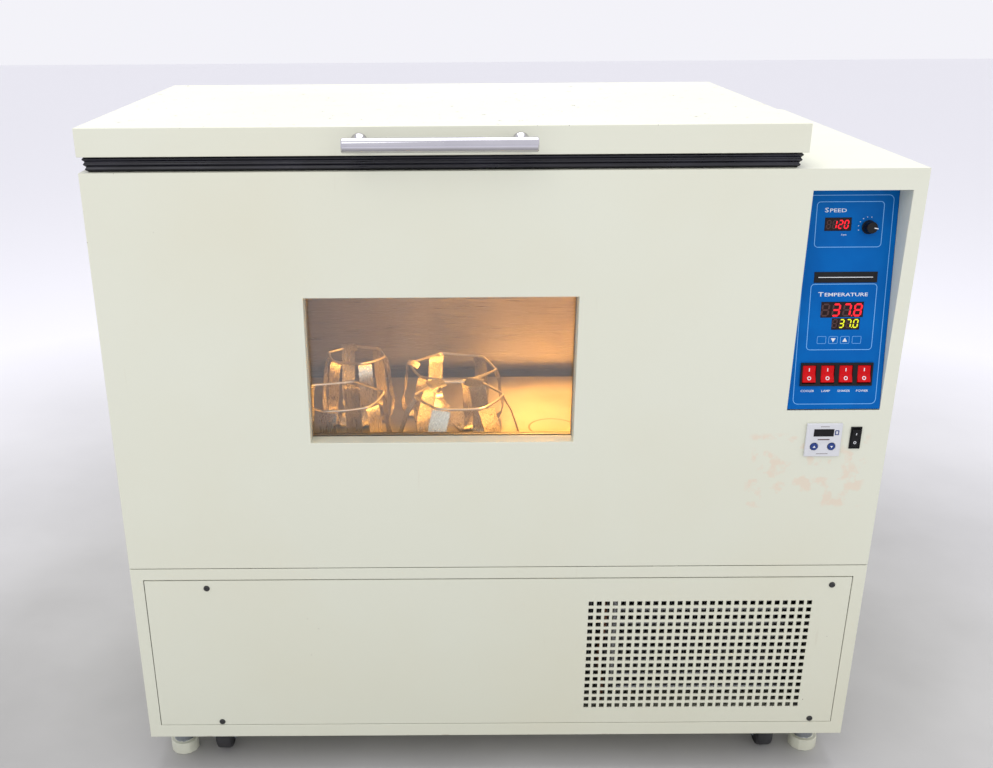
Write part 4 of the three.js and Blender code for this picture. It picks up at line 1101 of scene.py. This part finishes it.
def feet_and_casters():
    for end in ("front", "rear"):
        for side in ("left", "right"):
            tag = f"{end}_{side}"
            cup_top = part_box(f"foot_{tag}")[0].z + FOOT_CUP

            def above_cup(centre, top=cup_top):
                return int(centre.z > top)

            softened(f"foot_{tag}", ["cup", "zinc"], 1.2 * MM, 3, above_cup)
            softened(f"caster_fork_{tag}", "zinc", 0.5 * MM)
            low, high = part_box(f"caster_wheel_{tag}")
            axle = JOINTS[f"caster_{tag}_roll"]["pos_m"]
            width = high.x - low.x
            r = (high.z - low.z) / 2
            # Half of the section, from the bore out to the tread. The other half mirrors it.
            half = [
                (WHEEL_BORE, 0), (r * 0.5, 0), (r * 0.55, 2 * MM), (r * 0.78, 2 * MM),
                (r - TREAD_ROUND, 0.2 * MM), (r - 1.4 * MM, 2 * MM), (r, TREAD_ROUND),
            ]
            profile = half + [(radius, width - z) for radius, z in reversed(half)] + half[:1]
            bm = bmesh.new()
            lathe_in(bm, profile, facing(Vector((low.x, axle[1], axle[2])), (1, 0, 0)), 40)
            bmesh.ops.remove_doubles(bm, verts=bm.verts, dist=SEAM)
            wheel = f"caster_wheel_{tag}"
            piece(wheel + "_finished", bm, "tyre", f"wheel_{tag}", (wheel,), 35)


# ---------------------------------------------------------------- stage, light, camera
FLOOR_HALF = 15
FLOOR_NEAR = 0.9  # the floor pales from here
FLOOR_FAR = 2.4  # to here
FLOOR_DARK, FLOOR_LIGHT = (0.40, 0.395, 0.385), (0.53, 0.525, 0.515)
FLOOR_PALE = (0.90, 0.895, 0.93)
STUDIO = (0.90, 0.895, 0.945, 1)


def stage():
    bm = bmesh.new()
    box_in(bm, (-FLOOR_HALF, -FLOOR_HALF, -0.02), (FLOOR_HALF, FLOOR_HALF, 0))
    mesh = bpy.data.meshes.new("floor")
    bm.to_mesh(mesh)
    bm.free()
    floor = bpy.data.objects.new("floor", mesh)
    bpy.context.scene.collection.objects.link(floor)
    m = Shader("floor_pale", Roughness=0.6)
    near = m.colours(m.spread(m.noise(1.6, 5), 0.35, 0.7), FLOOR_DARK, FLOOR_LIGHT)
    away = m.nodes.new("ShaderNodeVectorMath")
    away.operation = "LENGTH"
    m.links.new(m.place, away.inputs[0])
    m.set("Base Color", m.colours(m.spread(away.outputs["Value"], FLOOR_NEAR, FLOOR_FAR), near, FLOOR_PALE))
    m.bump(m.noise(160, 3), 0.05, 0.001)
    mesh.materials.append(m.material)
    world = bpy.data.worlds.new("studio")
    world.use_nodes = True
    background = world.node_tree.nodes["Background"]
    background.inputs["Color"].default_value = STUDIO
    background.inputs["Strength"].default_value = 1.0
    bpy.context.scene.world = world


def area_light(name, place, target, size, power):
    light = bpy.data.lights.new(name, "AREA")
    light.size = size
    light.energy = power
    holder = bpy.data.objects.new(name, light)
    holder.location = place
    holder.rotation_euler = (Vector(target) - Vector(place)).to_track_quat("-Z", "Y").to_euler()
    bpy.context.scene.collection.objects.link(holder)


def lights():
    area_light("key", (-1.3, -2.2, 2.9), (0, 0, 0.6), 2.0, 15)
    area_light("fill", (1.9, -2.4, 1.7), (0, 0, 0.5), 2.2, 6)
    area_light("top", (0, 0.4, 3.2), (0, 0, 0.9), 2.4, 42)
    low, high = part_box("chamber_lamp")
    bulb = bpy.data.lights.new("chamber_glow", "POINT")
    bulb.energy = 8.5
    bulb.color = (1.0, 0.50, 0.13)
    bulb.shadow_soft_size = 0.07
    holder = bpy.data.objects.new("chamber_glow", bulb)
    holder.location = (low.x - 0.10, (low.y + high.y) / 2 + 0.02, (low.z + high.z) / 2)
    bpy.context.scene.collection.objects.link(holder)


CAMERA_BACK = 1.4279  # in front of the cabinet's face
CAMERA_SIDE = -0.0801
CAMERA_HEIGHT = 1.1464
CAMERA_PITCH = math.radians(-22.954)
CAMERA_YAW = math.radians(0.122)
CAMERA_ROLL = math.radians(0.404)
LENS = 40.71
SENSOR = 36
SHIFT_ACROSS = 0.057
SHIFT_UP = 0.0664


def camera():
    data = bpy.data.cameras.new("camera")
    data.lens = LENS
    data.sensor_width = SENSOR
    data.shift_x = SHIFT_ACROSS
    data.shift_y = SHIFT_UP
    data.clip_end = 50
    holder = bpy.data.objects.new("camera", data)
    turn = (
        Matrix.Rotation(CAMERA_YAW, 4, "Z")
        @ Matrix.Rotation(math.pi / 2 + CAMERA_PITCH, 4, "X")
        @ Matrix.Rotation(-CAMERA_ROLL, 4, "Z")
    )
    middle = (CABINET_LOW.x + CABINET_HIGH.x) / 2
    place = (middle + CAMERA_SIDE, FRONT - CAMERA_BACK, CAMERA_HEIGHT)
    holder.matrix_world = Matrix.Translation(place) @ turn
    bpy.context.scene.collection.objects.link(holder)
    bpy.context.scene.camera = holder


bpy.context.scene.view_settings.view_transform = "Standard"
camera()
sheet_metal()
service_panel()
panel_screws()
lid_handle()
gasket()
window()
panel_face()
knob()
rockers()
timer()
chamber()
condenser()
working_parts()
feet_and_casters()
stage()
lights()
